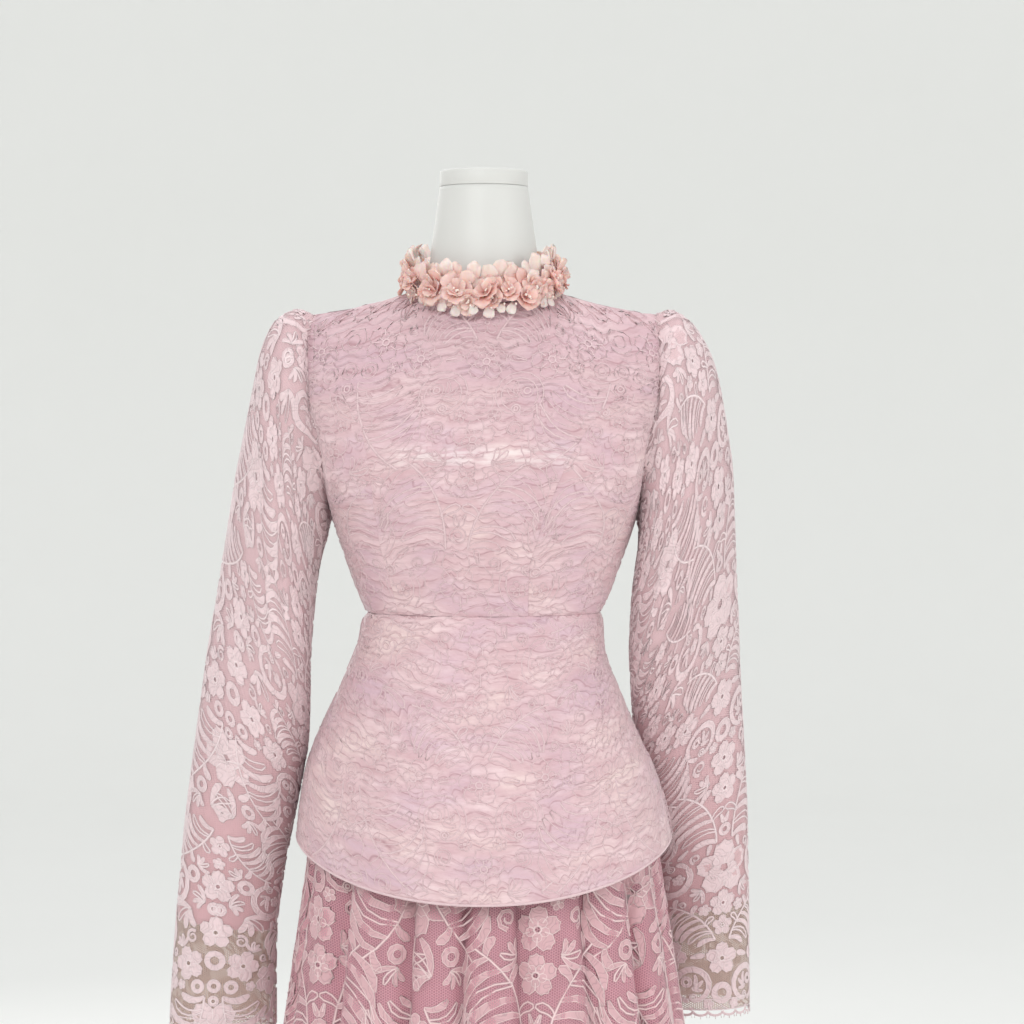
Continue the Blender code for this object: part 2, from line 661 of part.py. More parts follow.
def torso_rings(shape):
    """Vertex rings of the form from the waist up, as front then back points."""
    shares = np.linspace(-1.0, 1.0, 2 * HALF_COLUMNS + 1)
    neck_columns = round(NECK_SHARE * HALF_COLUMNS)
    rings = []
    for position in range(TOP_ROW + 1):
        front = [shape.verts.new(bodice_point(FRONT_ROWS, position, s)) for s in shares]
        back = []
        for index, share in enumerate(shares):
            column = abs(index - HALF_COLUMNS)
            joined = column == HALF_COLUMNS and position <= UNDERARM_ROW
            ridge = column >= neck_columns and position == TOP_ROW
            if joined or ridge:
                back.append(front[index])
            else:
                back.append(shape.verts.new(bodice_point(BACK_ROWS, position, share)))
        rings.append(front + back[::-1])
    return rings


def hip_ring(shape, ring, waist_ring):
    """A vertex ring of the hips at the same angles as the waist ring."""
    made = {}
    verts = []
    half = FRONT_ROWS[0].x_edge
    for vert in waist_ring:
        if vert not in made:
            depth = abs(FRONT_ROWS[0].y_centre if vert.co.y <= 0 else BACK_ROWS[0].y_centre)
            angle = math.atan2(vert.co.x / half, -vert.co.y / depth)
            x, y = oval_point(angle, ring.half, ring.front, ring.back, ROUND_FULLNESS)
            made[vert] = shape.verts.new((x, y, ring.z))
        verts.append(made[vert])
    return verts


def build_dress_form():
    """Smooth torso and neck under the top, with a cap, a pole and a base."""
    shape = bmesh.new()
    torso = torso_rings(shape)
    hips = [hip_ring(shape, ring, torso[0]) for ring in HIP_RINGS]
    loft(shape, list(reversed(hips)) + torso)
    columns = 2 * HALF_COLUMNS + 1
    start = HALF_COLUMNS - round(NECK_SHARE * HALF_COLUMNS)
    stop = columns - start
    top = torso[-1]
    front, back = top[:columns][start:stop], top[columns:][start:stop]
    neck_base = front + back[1:-1]
    angles = [math.atan2(v.co.x, -(v.co.y - NECK_Y)) for v in neck_base]
    insets = {}
    for position, ring in enumerate(torso):
        chest = CHEST_ROWS[0] <= position <= CHEST_ROWS[1]
        insets.update((vert, CHEST_INSET if chest else FORM_INSET) for vert in ring)
    bmesh.ops.recalc_face_normals(shape, faces=shape.faces[:])
    shape.normal_update()
    for vert, inset in insets.items():
        vert.co -= vert.normal * inset
    collar = []
    for angle in angles:
        point = collar_point(angle, BAND_HEIGHT, BAND_LEAN)
        outward = np.array([math.sin(angle), -math.cos(angle), 0.0])
        collar.append(shape.verts.new(point - outward * (PANEL_WALL / 2 + NECK_COLLAR_GAP)))
    rings = [neck_base, collar]
    for z, radius in NECK_RINGS:
        spots = [(radius * math.sin(a), -radius * math.cos(a), z) for a in angles]
        rings.append([shape.verts.new(spot) for spot in spots])
    loft(shape, rings)
    shape.faces.new(rings[-1])
    shape.faces.new(list(dict.fromkeys(hips[-1])))
    finish_shape(shape, "dress_form", FORM_WHITE, 0.4)


def turned(name, profile, steps, colour, roughness, metallic=0.0):
    """A solid turned about the Z axis from a profile that starts and ends on it."""
    mesh = bpy.data.meshes.new(name)
    points = [(radius, 0.0, z) for radius, z in profile]
    mesh.from_pydata(points, [(i, i + 1) for i in range(len(points) - 1)], [])
    thing = add_object(name, mesh, colour, roughness, metallic)
    screw = thing.modifiers.new("Turn", "SCREW")
    screw.steps = steps
    screw.render_steps = steps
    screw.use_merge_vertices = True
    screw.merge_threshold = MERGE_DISTANCE
    screw.use_normal_flip = True
    return thing


def build_stand():
    """Neck cap, pole and round base of the dress form."""
    turned("form_neck_cap", (
        (0.0, CAP_FOOT_Z), (CAP_RADIUS, CAP_FOOT_Z), (CAP_RADIUS, CAP_TOP_Z - CAP_BEVEL),
        (CAP_RADIUS - CAP_BEVEL, CAP_TOP_Z), (0.0, CAP_TOP_Z),
    ), 24, FORM_WHITE, 0.35)
    turned("form_pole", (
        (0.0, HUB_TOP_Z + SEAM), (POLE_RADIUS, HUB_TOP_Z + SEAM),
        (POLE_RADIUS, HIP_RINGS[-1].z - SEAM), (0.0, HIP_RINGS[-1].z - SEAM),
    ), 16, STEEL_GREY, 0.3, 1.0)
    turned("form_base", (
        (0.0, 0.0), (BASE_RADIUS, 0.0), (BASE_RADIUS, BASE_TOP_Z - EDGE_ROUND),
        (BASE_RADIUS - EDGE_ROUND, BASE_TOP_Z), (HUB_RADIUS, BASE_TOP_Z + EDGE_ROUND),
        (HUB_RADIUS, HUB_TOP_Z - EDGE_ROUND), (HUB_RADIUS - EDGE_ROUND, HUB_TOP_Z),
        (0.0, HUB_TOP_Z),
    ), 32, FORM_WHITE, 0.35)


def main():
    """Build the whole set."""
    clear_scene()
    group = bpy.data.collections.new(COLLECTION)
    bpy.context.scene.collection.children.link(group)
    build_dress_form()
    build_stand()
    build_bodice()
    build_collar()
    build_flower_trim()
    build_peplum()
    build_skirt()
    build_sleeves()


main()
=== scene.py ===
"""Looks of a corded lace peplum top and long gathered skirt on a limbless dress form."""

from dataclasses import dataclass
from enum import Enum
import logging
import math
from typing import NamedTuple

import bpy
import numpy as np
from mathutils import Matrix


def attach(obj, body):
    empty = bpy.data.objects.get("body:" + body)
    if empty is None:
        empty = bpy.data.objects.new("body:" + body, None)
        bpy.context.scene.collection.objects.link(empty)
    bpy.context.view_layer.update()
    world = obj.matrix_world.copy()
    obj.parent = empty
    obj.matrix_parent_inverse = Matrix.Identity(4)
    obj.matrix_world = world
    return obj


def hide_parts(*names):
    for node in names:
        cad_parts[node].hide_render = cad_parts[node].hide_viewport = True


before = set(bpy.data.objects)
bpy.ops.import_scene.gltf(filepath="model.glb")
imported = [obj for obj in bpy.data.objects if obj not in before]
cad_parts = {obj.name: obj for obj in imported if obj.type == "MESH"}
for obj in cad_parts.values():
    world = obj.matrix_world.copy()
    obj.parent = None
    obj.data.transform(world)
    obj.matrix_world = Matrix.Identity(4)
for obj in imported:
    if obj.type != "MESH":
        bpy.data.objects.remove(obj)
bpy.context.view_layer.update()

log = logging.getLogger("lace_set")

MM = 0.001
Colour = tuple[float, float, float]


class Side(Enum):
    """The wearer's two sides."""

    LEFT = 1
    RIGHT = -1


class Face(Enum):
    """Front or back of the set."""

    FRONT = "front"
    BACK = "back"


class Motif(Enum):
    """The motifs of the lace."""

    FLOWER = "flower"
    SPRAY = "spray"
    SCROLL = "scroll"
    CURL = "curl"
    FAN = "fan"
    LEAF = "leaf"
    RING = "ring"


class BodiceRow(NamedTuple):
    """One row of the bodice, from the centre line to its edge."""

    y_centre: float
    z_centre: float
    x_edge: float
    y_edge: float
    z_edge: float
    fullness: float
    seam_left: float = 0.0
    seam_right: float = 0.0


class PeplumRow(NamedTuple):
    """One ring of the peplum, at a share of the drop from the waist to the hem."""

    drop: float
    half: float
    front: float
    back: float
    shift: float


class SkirtRow(NamedTuple):
    """One ring of the skirt and how far its folds swell out."""

    z: float
    half: float
    front: float
    back: float
    fold: float


class Crease(NamedTuple):
    """A crease between two folds of the skirt, in degrees from the front."""

    angle: float
    slant: float
    depth: float
    lean: float


class SleeveRing(NamedTuple):
    """One sleeve ring through its outer and inner points."""

    outer_x: float
    outer_z: float
    inner_x: float
    inner_z: float
    depth: float
    back: float


class FormRing(NamedTuple):
    """One ring of the dress form's hips."""

    z: float
    half: float
    front: float
    back: float


class Ridge(NamedTuple):
    """A soft crease pressed into a sleeve, placed by ring and by turn round the arm."""

    ring: float
    turn: float
    length: float
    spread: float
    slope: float
    height: float


FRONT_ROWS = (
    BodiceRow(-0.0850, 1.060, 0.1170, 0.000, 1.060, 2.10, 0.044, 0.084),
    BodiceRow(-0.0885, 1.082, 0.1265, 0.001, 1.082, 2.15, 0.044, 0.088),
    BodiceRow(-0.0960, 1.112, 0.1375, 0.003, 1.112, 2.25, 0.045, 0.097),
    BodiceRow(-0.1080, 1.152, 0.1510, 0.005, 1.152, 2.40, 0.057, 0.103),
    BodiceRow(-0.1150, 1.188, 0.1550, -0.028, 1.181, 2.50, 0.071, 0.108),
    BodiceRow(-0.1175, 1.222, 0.1580, -0.046, 1.209, 2.50, 0.086, 0.112),
    BodiceRow(-0.1130, 1.252, 0.1630, -0.052, 1.238, 2.40, 0.104, 0.119),
    BodiceRow(-0.1030, 1.282, 0.1700, -0.050, 1.267, 2.20, 0.132, 0.138),
    BodiceRow(-0.0915, 1.310, 0.1730, -0.042, 1.296, 2.00, 0.173, 0.173),
    BodiceRow(-0.0780, 1.334, 0.1740, -0.028, 1.322, 1.85, 0.174, 0.174),
    BodiceRow(-0.0680, 1.352, 0.1725, -0.013, 1.343, 1.75, 0.1725, 0.1725),
    BodiceRow(-0.0600, 1.365, 0.1700, 0.000, 1.357, 1.70, 0.170, 0.170),
)
BACK_ROWS = (
    BodiceRow(0.0790, 1.060, 0.1170, 0.000, 1.060, 2.10),
    BodiceRow(0.0805, 1.082, 0.1265, 0.001, 1.082, 2.15),
    BodiceRow(0.0840, 1.112, 0.1375, 0.003, 1.112, 2.20),
    BodiceRow(0.0910, 1.152, 0.1510, 0.005, 1.152, 2.35),
    BodiceRow(0.0965, 1.192, 0.1550, 0.038, 1.181, 2.40),
    BodiceRow(0.0995, 1.230, 0.1590, 0.054, 1.209, 2.40),
    BodiceRow(0.0995, 1.266, 0.1640, 0.060, 1.238, 2.30),
    BodiceRow(0.0960, 1.300, 0.1690, 0.058, 1.267, 2.15),
    BodiceRow(0.0890, 1.330, 0.1720, 0.049, 1.296, 2.00),
    BodiceRow(0.0790, 1.354, 0.1730, 0.033, 1.322, 1.85),
    BodiceRow(0.0680, 1.373, 0.1720, 0.016, 1.343, 1.75),
    BodiceRow(0.0580, 1.388, 0.1700, 0.000, 1.357, 1.70),
)
TORSO_ROWS = {Face.FRONT: FRONT_ROWS, Face.BACK: BACK_ROWS}
UNDERARM_ROW = 3
SEAM_END_ROW = 8
SIDE_PANEL_END = 7.95
BLEND_ROW = 6
TOP_ROW = len(FRONT_ROWS) - 1
FINE = 121
WAIST_RETREAT = 0.0006
SHOULDER_RETREAT = 0.005

NECK_X, NECK_Y, NECK_Z = 0.060, 0.004, 1.384
NECK_SHARE = 0.4
SHOULDER_DIP = 0.003

PEPLUM_ROWS = (
    PeplumRow(0.00, 0.1172, 0.0852, 0.0792, 0.0000),
    PeplumRow(0.05, 0.1203, 0.0895, 0.0835, -0.0018),
    PeplumRow(0.13, 0.1225, 0.0950, 0.0905, -0.0030),
    PeplumRow(0.22, 0.1285, 0.1035, 0.1000, -0.0050),
    PeplumRow(0.32, 0.1375, 0.1130, 0.1115, -0.0050),
    PeplumRow(0.47, 0.1525, 0.1275, 0.1295, -0.0065),
    PeplumRow(0.58, 0.1635, 0.1380, 0.1420, -0.0065),
    PeplumRow(0.70, 0.1740, 0.1485, 0.1540, -0.0050),
    PeplumRow(0.85, 0.1825, 0.1590, 0.1650, -0.0025),
    PeplumRow(1.00, 0.1880, 0.1660, 0.1720, -0.0010),
)
WAIST_Z = 1.060
HEM_FRONT_Z, HEM_SIDE_Z, HEM_BACK_Z = 0.791, 0.838, 0.800
HEM_CURVE = 1.5
PEPLUM_FULLNESS = 2.1

SKIRT_ROWS = (
    SkirtRow(1.0290, 0.1155, 0.0862, 0.0802, 0.0006),
    SkirtRow(1.0100, 0.1185, 0.0915, 0.0870, 0.0012),
    SkirtRow(0.9850, 0.1265, 0.1005, 0.0980, 0.0026),
    SkirtRow(0.9400, 0.1430, 0.1155, 0.1180, 0.0045),
    SkirtRow(0.8800, 0.1610, 0.1310, 0.1390, 0.0070),
    SkirtRow(0.8000, 0.1715, 0.1420, 0.1550, 0.0105),
    SkirtRow(0.6480, 0.1915, 0.1650, 0.1820, 0.0145),
    SkirtRow(0.2000, 0.2520, 0.2310, 0.2480, 0.0280),
    SkirtRow(0.0400, 0.2700, 0.2500, 0.2660, 0.0340),
)
SKIRT_FULLNESS = 2.1
LINING_SHARE = 0.55
LINING_INSET = 0.0013
LINING_DROP = 0.0035
LINING_DROP_ROWS = 4
LINING_HEM_Z = 0.065
FOLD_CURVE = 0.8
CREASES = (
    Crease(-90, 0, 0.5, 0.0), Crease(-74, -4, 1.0, 0.7), Crease(-48, 5, 0.7, -0.4),
    Crease(-22, 0, 1.2, 0.8), Crease(-4, -12, 0.9, -0.7), Crease(10, 2, 0.8, 0.5),
    Crease(32, 6, 0.6, 0.3), Crease(54, -3, 1.2, -0.8), Crease(74, 4, 0.8, 0.6),
    Crease(90, 0, 0.5, 0.0), Crease(107, 5, 0.9, -0.6), Crease(127, -4, 1.1, 0.7),
    Crease(149, 3, 0.7, -0.5), Crease(169, -5, 1.1, 0.6), Crease(191, 4, 0.8, -0.7),
    Crease(213, -3, 1.0, 0.6), Crease(234, 5, 0.9, -0.5), Crease(253, -4, 1.0, 0.7),
    Crease(270, 0, 0.5, 0.0),
)
CREASE_START_Z = 0.85
WIDE_FOLD = 24.0
BAND_TOP_Z, BAND_FOOT_Z = 1.0480, 1.0296

SLEEVE_ROWS = {
    Side.RIGHT: (
        SleeveRing(0.1880, 1.3600, 0.1570, 1.1360, 0.0580, 0.006),
        SleeveRing(0.2070, 1.3520, 0.1615, 1.1220, 0.0610, 0.006),
        SleeveRing(0.2190, 1.3270, 0.1655, 1.1050, 0.0620, 0.006),
        SleeveRing(0.2295, 1.2820, 0.1690, 1.0800, 0.0610, 0.006),
        SleeveRing(0.2400, 1.2360, 0.1720, 1.0500, 0.0590, 0.006),
        SleeveRing(0.2510, 1.1820, 0.1745, 1.0140, 0.0570, 0.006),
        SleeveRing(0.2710, 1.0520, 0.1780, 0.9340, 0.0530, 0.010),
        SleeveRing(0.2810, 0.9880, 0.1830, 0.8960, 0.0515, 0.012),
        SleeveRing(0.2985, 0.8660, 0.1985, 0.8180, 0.0485, 0.016),
        SleeveRing(0.3050, 0.8080, 0.2050, 0.7800, 0.0470, 0.018),
        SleeveRing(0.3100, 0.7570, 0.2095, 0.7430, 0.0460, 0.020),
        SleeveRing(0.3145, 0.6980, 0.2110, 0.6960, 0.0450, 0.022),
        SleeveRing(0.3180, 0.6400, 0.2110, 0.6400, 0.0440, 0.024),
    ),
    Side.LEFT: (
        SleeveRing(0.1900, 1.3590, 0.1555, 1.1360, 0.0580, 0.006),
        SleeveRing(0.2080, 1.3480, 0.1545, 1.1200, 0.0610, 0.008),
        SleeveRing(0.2230, 1.3230, 0.1520, 1.1000, 0.0620, 0.012),
        SleeveRing(0.2350, 1.2860, 0.1490, 1.0730, 0.0610, 0.016),
        SleeveRing(0.2440, 1.2430, 0.1475, 1.0420, 0.0590, 0.022),
        SleeveRing(0.2515, 1.1900, 0.1475, 1.0070, 0.0570, 0.030),
        SleeveRing(0.2575, 1.0620, 0.1545, 0.9310, 0.0530, 0.062),
        SleeveRing(0.2610, 0.9970, 0.1590, 0.8940, 0.0515, 0.082),
        SleeveRing(0.2705, 0.8700, 0.1670, 0.8180, 0.0485, 0.106),
        SleeveRing(0.2730, 0.8100, 0.1700, 0.7800, 0.0470, 0.114),
        SleeveRing(0.2745, 0.7580, 0.1725, 0.7430, 0.0460, 0.121),
        SleeveRing(0.2755, 0.6980, 0.1750, 0.6960, 0.0450, 0.127),
        SleeveRing(0.2765, 0.6400, 0.1770, 0.6400, 0.0440, 0.131),
    ),
}
SLEEVE_CREASES = (
    Ridge(1.6, 30, 0.9, 16, 40, 3.0), Ridge(2.4, 55, 1.2, 14, 30, -2.2),
    Ridge(3.4, 10, 1.2, 20, -20, 1.6), Ridge(4.6, 80, 1.3, 20, 35, 2.4),
    Ridge(5.3, 40, 1.4, 18, -30, -1.8), Ridge(6.0, 140, 1.2, 22, 30, 2.6),
    Ridge(6.6, 60, 1.0, 20, 40, -2.0), Ridge(7.2, 100, 1.3, 24, -25, 2.2),
    Ridge(8.2, 30, 1.5, 22, 20, 1.8), Ridge(9.2, 120, 1.4, 20, -30, -1.6),
    Ridge(10.3, 60, 1.5, 22, 25, 1.8), Ridge(2.0, -60, 1.2, 18, -35, 2.6),
    Ridge(4.0, -100, 1.4, 20, 30, -2.0), Ridge(6.2, -80, 1.4, 22, -30, 2.6),
    Ridge(8.4, -120, 1.4, 22, 25, 2.0), Ridge(10.8, -70, 1.4, 22, -20, 1.6),
)
CUFF_ROW = 11
SLEEVE_LINING_INSET = 0.0023
SLEEVE_LACE_SIDE = {Side.LEFT: 0.055, Side.RIGHT: -0.045}
ARMHOLE_GAP, UNDERARM_GAP = 0.00095, 0.00060

HIP_RINGS = (
    FormRing(1.0300, 0.1120, 0.0825, 0.0765),
    FormRing(1.0100, 0.1125, 0.0845, 0.0800),
    FormRing(0.9850, 0.1180, 0.0920, 0.0895),
    FormRing(0.9400, 0.1315, 0.1045, 0.1070),
    FormRing(0.8800, 0.1450, 0.1160, 0.1240),
    FormRing(0.8200, 0.1530, 0.1230, 0.1320),
    FormRing(0.7850, 0.1490, 0.1190, 0.1280),
    FormRing(0.7780, 0.1400, 0.1110, 0.1190),
)


# ---- curves and surfaces -------------------------------------------------------------


def smooth(table: np.ndarray, position: float) -> np.ndarray:
    """Entry of a table at a fractional position, on a Catmull-Rom curve.

    Args:
        table: rows of numbers or rings of points, first axis first.
        position: place along the first axis.

    Returns:
        The interpolated row or ring.
    """
    last = len(table) - 1
    first = max(0, min(int(position), last - 1))
    share = position - first
    before, here = table[max(first - 1, 0)], table[first]
    there, after = table[first + 1], table[min(first + 2, last)]
    leave, arrive = (there - before) / 2, (after - here) / 2
    square, cube = share ** 2, share ** 3
    return (
        here * (2 * cube - 3 * square + 1) + there * (3 * square - 2 * cube)
        + leave * (cube - 2 * square + share) + arrive * (cube - square)
    )


def evenly(points: np.ndarray, count: int) -> np.ndarray:
    """The same curve as points spaced evenly along its length."""
    steps = np.linalg.norm(np.diff(points, axis=0), axis=1)
    length = np.concatenate([[0.0], np.cumsum(steps)])
    wanted = np.linspace(0.0, length[-1], count)
    return np.column_stack([np.interp(wanted, length, points[:, k]) for k in range(3)])


def half_row(row: np.ndarray) -> np.ndarray:
    """A bodice row from the centre line to its edge, as part of a superellipse."""
    y_centre, z_centre, x_edge, y_edge, z_edge, fullness = row[:6]
    angle = np.linspace(0.0, math.pi / 2, 4 * FINE)
    power = 2.0 / fullness
    across, forward = np.sin(angle) ** power, np.cos(angle).clip(0.0) ** power
    x = x_edge * across
    y = y_edge + (y_centre - y_edge) * forward
    z = z_centre + (z_edge - z_centre) * np.sin(angle) ** 2
    return evenly(np.column_stack([x, y, z]), FINE)


def neckline(angle: float, face: Face) -> np.ndarray:
    """Neckline point at an angle from the centre line of the front or the back."""
    top = TORSO_ROWS[face][-1]
    turn = math.cos(angle)
    return np.array([
        NECK_X * math.sin(angle),
        NECK_Y + (top.y_centre - NECK_Y) * turn,
        NECK_Z + (top.z_centre - NECK_Z) * turn,
    ])


def top_line(face: Face) -> np.ndarray:
    """The neckline quarter and then the shoulder of the front or the back."""
    top = TORSO_ROWS[face][-1]
    neck_point = np.array([NECK_X, NECK_Y, NECK_Z])
    shoulder = np.array([top.x_edge, top.y_edge, top.z_edge])
    line = []
    for share in np.linspace(0.0, 1.0, FINE):
        if share < NECK_SHARE:
            line.append(neckline(share / NECK_SHARE * math.pi / 2, face))
            continue
        along = (share - NECK_SHARE) / (1.0 - NECK_SHARE)
        point = neck_point + (shoulder - neck_point) * along
        point[2] -= SHOULDER_DIP * math.sin(math.pi * along)
        line.append(point)
    return np.array(line)


TABLES = {face: np.array([row[:6] for row in rows]) for face, rows in TORSO_ROWS.items()}
TOP_BENDS = {
    face: top_line(face) - half_row(TABLES[face][-1]) for face in (Face.FRONT, Face.BACK)
}


def half_curve(face: Face, position: float) -> np.ndarray:
    """Centre line to edge at a row position, bent towards the neckline near the top."""
    rise = max(0.0, (position - BLEND_ROW) / (TOP_ROW - BLEND_ROW))
    return half_row(smooth(TABLES[face], position)) + TOP_BENDS[face] * rise ** 3


def bodice_line(face: Face, position: float, shares: np.ndarray) -> np.ndarray:
    """Points of a bodice row at signed shares of its half length."""
    curve = half_curve(face, position)
    places = np.linspace(0.0, 1.0, FINE)
    points = np.column_stack([np.interp(np.abs(shares), places, curve[:, k]) for k in range(3)])
    points[:, 0] *= np.where(shares < 0, -1.0, 1.0)
    return points


def seam_share(position: float, side: Side) -> float:
    """Share of the front row at which the princess seam of one side runs."""
    if position >= SEAM_END_ROW:
        return 1.0
    first = int(position)
    shares = []
    for index in (first, first + 1):
        row = FRONT_ROWS[index]
        seam_x = row.seam_left if side is Side.LEFT else row.seam_right
        curve = half_curve(Face.FRONT, index)
        shares.append(float(np.interp(seam_x, curve[:, 0], np.linspace(0.0, 1.0, FINE))))
    return shares[0] + (shares[1] - shares[0]) * (position - first)


def oval(angles: np.ndarray, half: float, front: float, back: float, fullness: float,
         shift: float = 0.0) -> tuple[np.ndarray, np.ndarray]:
    """Ring points at angles from the front, deeper at the front or the back.

    Args:
        angles: angles from the front towards the wearer's left.
        half: half width.
        front: depth at the front.
        back: depth at the back.
        fullness: superellipse power.
        shift: how far the ring's middle lies to the wearer's left.

    Returns:
        The x and y of each point.
    """
    power = 2.0 / fullness
    across, along = np.sin(angles), np.cos(angles)
    depth = np.where(along >= 0, front, back)
    x = shift + half * np.sign(across) * np.abs(across) ** power
    y = -depth * np.sign(along) * np.abs(along) ** power
    return x, y


class Drape:
    """A cloth surface: rows of points with flat lengths across and along it."""

    def __init__(self, points: np.ndarray, closed: bool = False) -> None:
        """Measure the surface.

        Args:
            points: rows, columns and coordinates; a closed row repeats its first point.
            closed: whether each row is a ring.
        """
        self.points = points
        self.closed = closed
        self.rows, self.columns = points.shape[:2]
        self.measure()

    def measure(self) -> None:
        """Work out the outward normals and the flat lengths."""
        points = self.points
        if self.closed:
            wide = np.concatenate([points[:, -2:-1], points, points[:, 1:2]], axis=1)
            around = wide[:, 2:] - wide[:, :-2]
        else:
            around = np.gradient(points, axis=1)
        normals = np.cross(around, np.gradient(points, axis=0))
        normals /= np.linalg.norm(normals, axis=2, keepdims=True) + 1e-12
        outward = points - self.heart()[:, None]
        self.flipped = bool((normals * outward)[:, :, :2].sum() < 0)
        self.normals = -normals if self.flipped else normals
        steps = np.linalg.norm(np.diff(points, axis=1), axis=2)
        across = np.concatenate([np.zeros((self.rows, 1)), np.cumsum(steps, axis=1)], axis=1)
        middle = self.columns // 2
        self.across = across - across[:, middle:middle + 1]
        drops = np.linalg.norm(np.diff(points[:, middle], axis=0), axis=1)
        self.down = np.concatenate([[0.0], np.cumsum(drops)])

    def moved(self, distance: np.ndarray | float) -> "Drape":
        """The same surface moved out along its normals by a distance or a map of them."""
        amount = np.broadcast_to(distance, self.points.shape[:2])[..., None]
        return Drape(self.points + self.normals * amount, self.closed)

    def heart(self) -> np.ndarray:
        """Point inside each row, away from which the cloth faces."""
        heart = self.points.mean(axis=1)
        if not self.closed:
            heart[:, :2] = 0.0
        return heart

    def size(self) -> tuple[float, float]:
        """Greatest width and length of the flat cut, in metres."""
        return float(np.ptp(self.across, axis=1).max()), float(self.down[-1])

    def flat(self) -> np.ndarray:
        """Flat place of every point, across and along."""
        along = np.broadcast_to(self.down[:, None], self.across.shape)
        return np.stack([self.across, along], axis=-1)

    def place(self, across: np.ndarray, along: np.ndarray,
              lift: np.ndarray) -> tuple[np.ndarray, np.ndarray]:
        """Put flat points on the surface.

        Args:
            across: flat distance from the middle column.
            along: flat distance from the first row.
            lift: height over the cloth.

        Returns:
            The points, and whether each lies on the cloth.
        """
        row = np.interp(along, self.down, np.arange(self.rows))
        over = along - np.clip(along, 0.0, self.down[-1])
        first = np.clip(row.astype(int), 0, self.rows - 2)
        share = row - first
        column = np.empty_like(across)
        inside = np.ones(len(across), dtype=bool)
        places = np.arange(self.columns)
        for index in np.unique(first):
            pick = first == index
            low, high = self.across[index], self.across[index + 1]
            part = share[pick]
            near = np.interp(across[pick], low, places)
            far = np.interp(across[pick], high, places)
            column[pick] = near + (far - near) * part
            least = low[0] + (high[0] - low[0]) * part
            most = low[-1] + (high[-1] - low[-1]) * part
            inside[pick] = (across[pick] > least) & (across[pick] < most)
        left = np.clip(column.astype(int), 0, self.columns - 2)
        side = (column - left)[:, None]
        share = share[:, None]

        def blend(grid: np.ndarray) -> np.ndarray:
            """Values of a grid at the places, between its four nearest points."""
            upper = grid[first, left] * (1 - side) + grid[first, left + 1] * side
            lower = grid[first + 1, left] * (1 - side) + grid[first + 1, left + 1] * side
            return upper * (1 - share) + lower * share

        heading = self.points[first + 1, left] - self.points[first, left]
        heading /= np.linalg.norm(heading, axis=1, keepdims=True) + 1e-12
        spots = blend(self.points) + blend(self.normals) * lift[:, None]
        return spots + heading * over[:, None], inside


# ---- lace ------------------------------------------------------------------------------


class Strip(NamedTuple):
    """A cord or a pad of clothwork, by its two edges in millimetres."""

    left: np.ndarray
    right: np.ndarray
    cord: bool
    fine: bool = False


class Spot(NamedTuple):
    """One motif's place on the tile, in millimetres and degrees."""

    motif: Motif
    x: float
    y: float
    turn: float
    size: float
    mirrored: bool = True


SPOTS = (
    Spot(Motif.FLOWER, 0, 38, 90, 26, False),
    Spot(Motif.FLOWER, 100, 168, -90, 25, False),
    Spot(Motif.SPRAY, 8, 66, 88, -84),
    Spot(Motif.SPRAY, 92, 196, 268, -84),
    Spot(Motif.SPRAY, 93, 96, 250, -60),
    Spot(Motif.SPRAY, 7, 226, 70, -60),
    Spot(Motif.SCROLL, 50, 36, 150, 19),
    Spot(Motif.SCROLL, 27, 182, 330, 16),
    Spot(Motif.RING, 0, 76, 0, 6, False),
    Spot(Motif.RING, 100, 206, 0, 6, False),
)


def bent(length: float, bend: float, steps: int, start: tuple[float, float] = (0.0, 0.0),
         heading: float = 0.0) -> tuple[np.ndarray, np.ndarray]:
    """A line of one length that turns evenly.

    Args:
        length: its length.
        bend: how far it turns, in radians.
        steps: number of points.
        start: first point.
        heading: first direction, in radians.

    Returns:
        The points and the direction at each.
    """
    turn = heading + bend * np.linspace(0.0, 1.0, steps)
    middle = (turn[:-1] + turn[1:]) / 2
    step = length / (steps - 1)
    x = start[0] + np.concatenate([[0.0], np.cumsum(np.cos(middle))]) * step
    y = start[1] + np.concatenate([[0.0], np.cumsum(np.sin(middle))]) * step
    return np.column_stack([x, y]), turn


def edges(line: np.ndarray, half: np.ndarray | float) -> tuple[np.ndarray, np.ndarray]:
    """The two edges of a strip round its middle line."""
    heading = np.gradient(line, axis=0)
    heading /= np.linalg.norm(heading, axis=1, keepdims=True) + 1e-9
    width = np.broadcast_to(half, len(line))[:, None]
    normal = np.column_stack([-heading[:, 1], heading[:, 0]]) * width
    return line + normal, line - normal


def polar(radius: np.ndarray | float, angles: np.ndarray) -> np.ndarray:
    """Points at radii and angles."""
    return np.column_stack([np.cos(angles) * radius, np.sin(angles) * radius])


def circle(radius: float, steps: int) -> np.ndarray:
    """A closed ring of points."""
    return polar(radius, np.linspace(0.0, 2 * math.pi, steps))


TILE_WIDTH, TILE_HEIGHT = 200.0, 260.0
RUFFLED_SIZE = 12.0
DOUBLE_SIZE = 10.0
FINE_RADIUS = 3.0
GAP_FILLERS = (
    (10.5, (Motif.FAN, Motif.CURL, Motif.FAN, Motif.FLOWER)),
    (6.5, (Motif.FAN, Motif.CURL, Motif.FAN, Motif.RING)),
    (0.0, (Motif.LEAF, Motif.RING, Motif.FLOWER, Motif.CURL)),
)
_fillers: list[Spot] = []


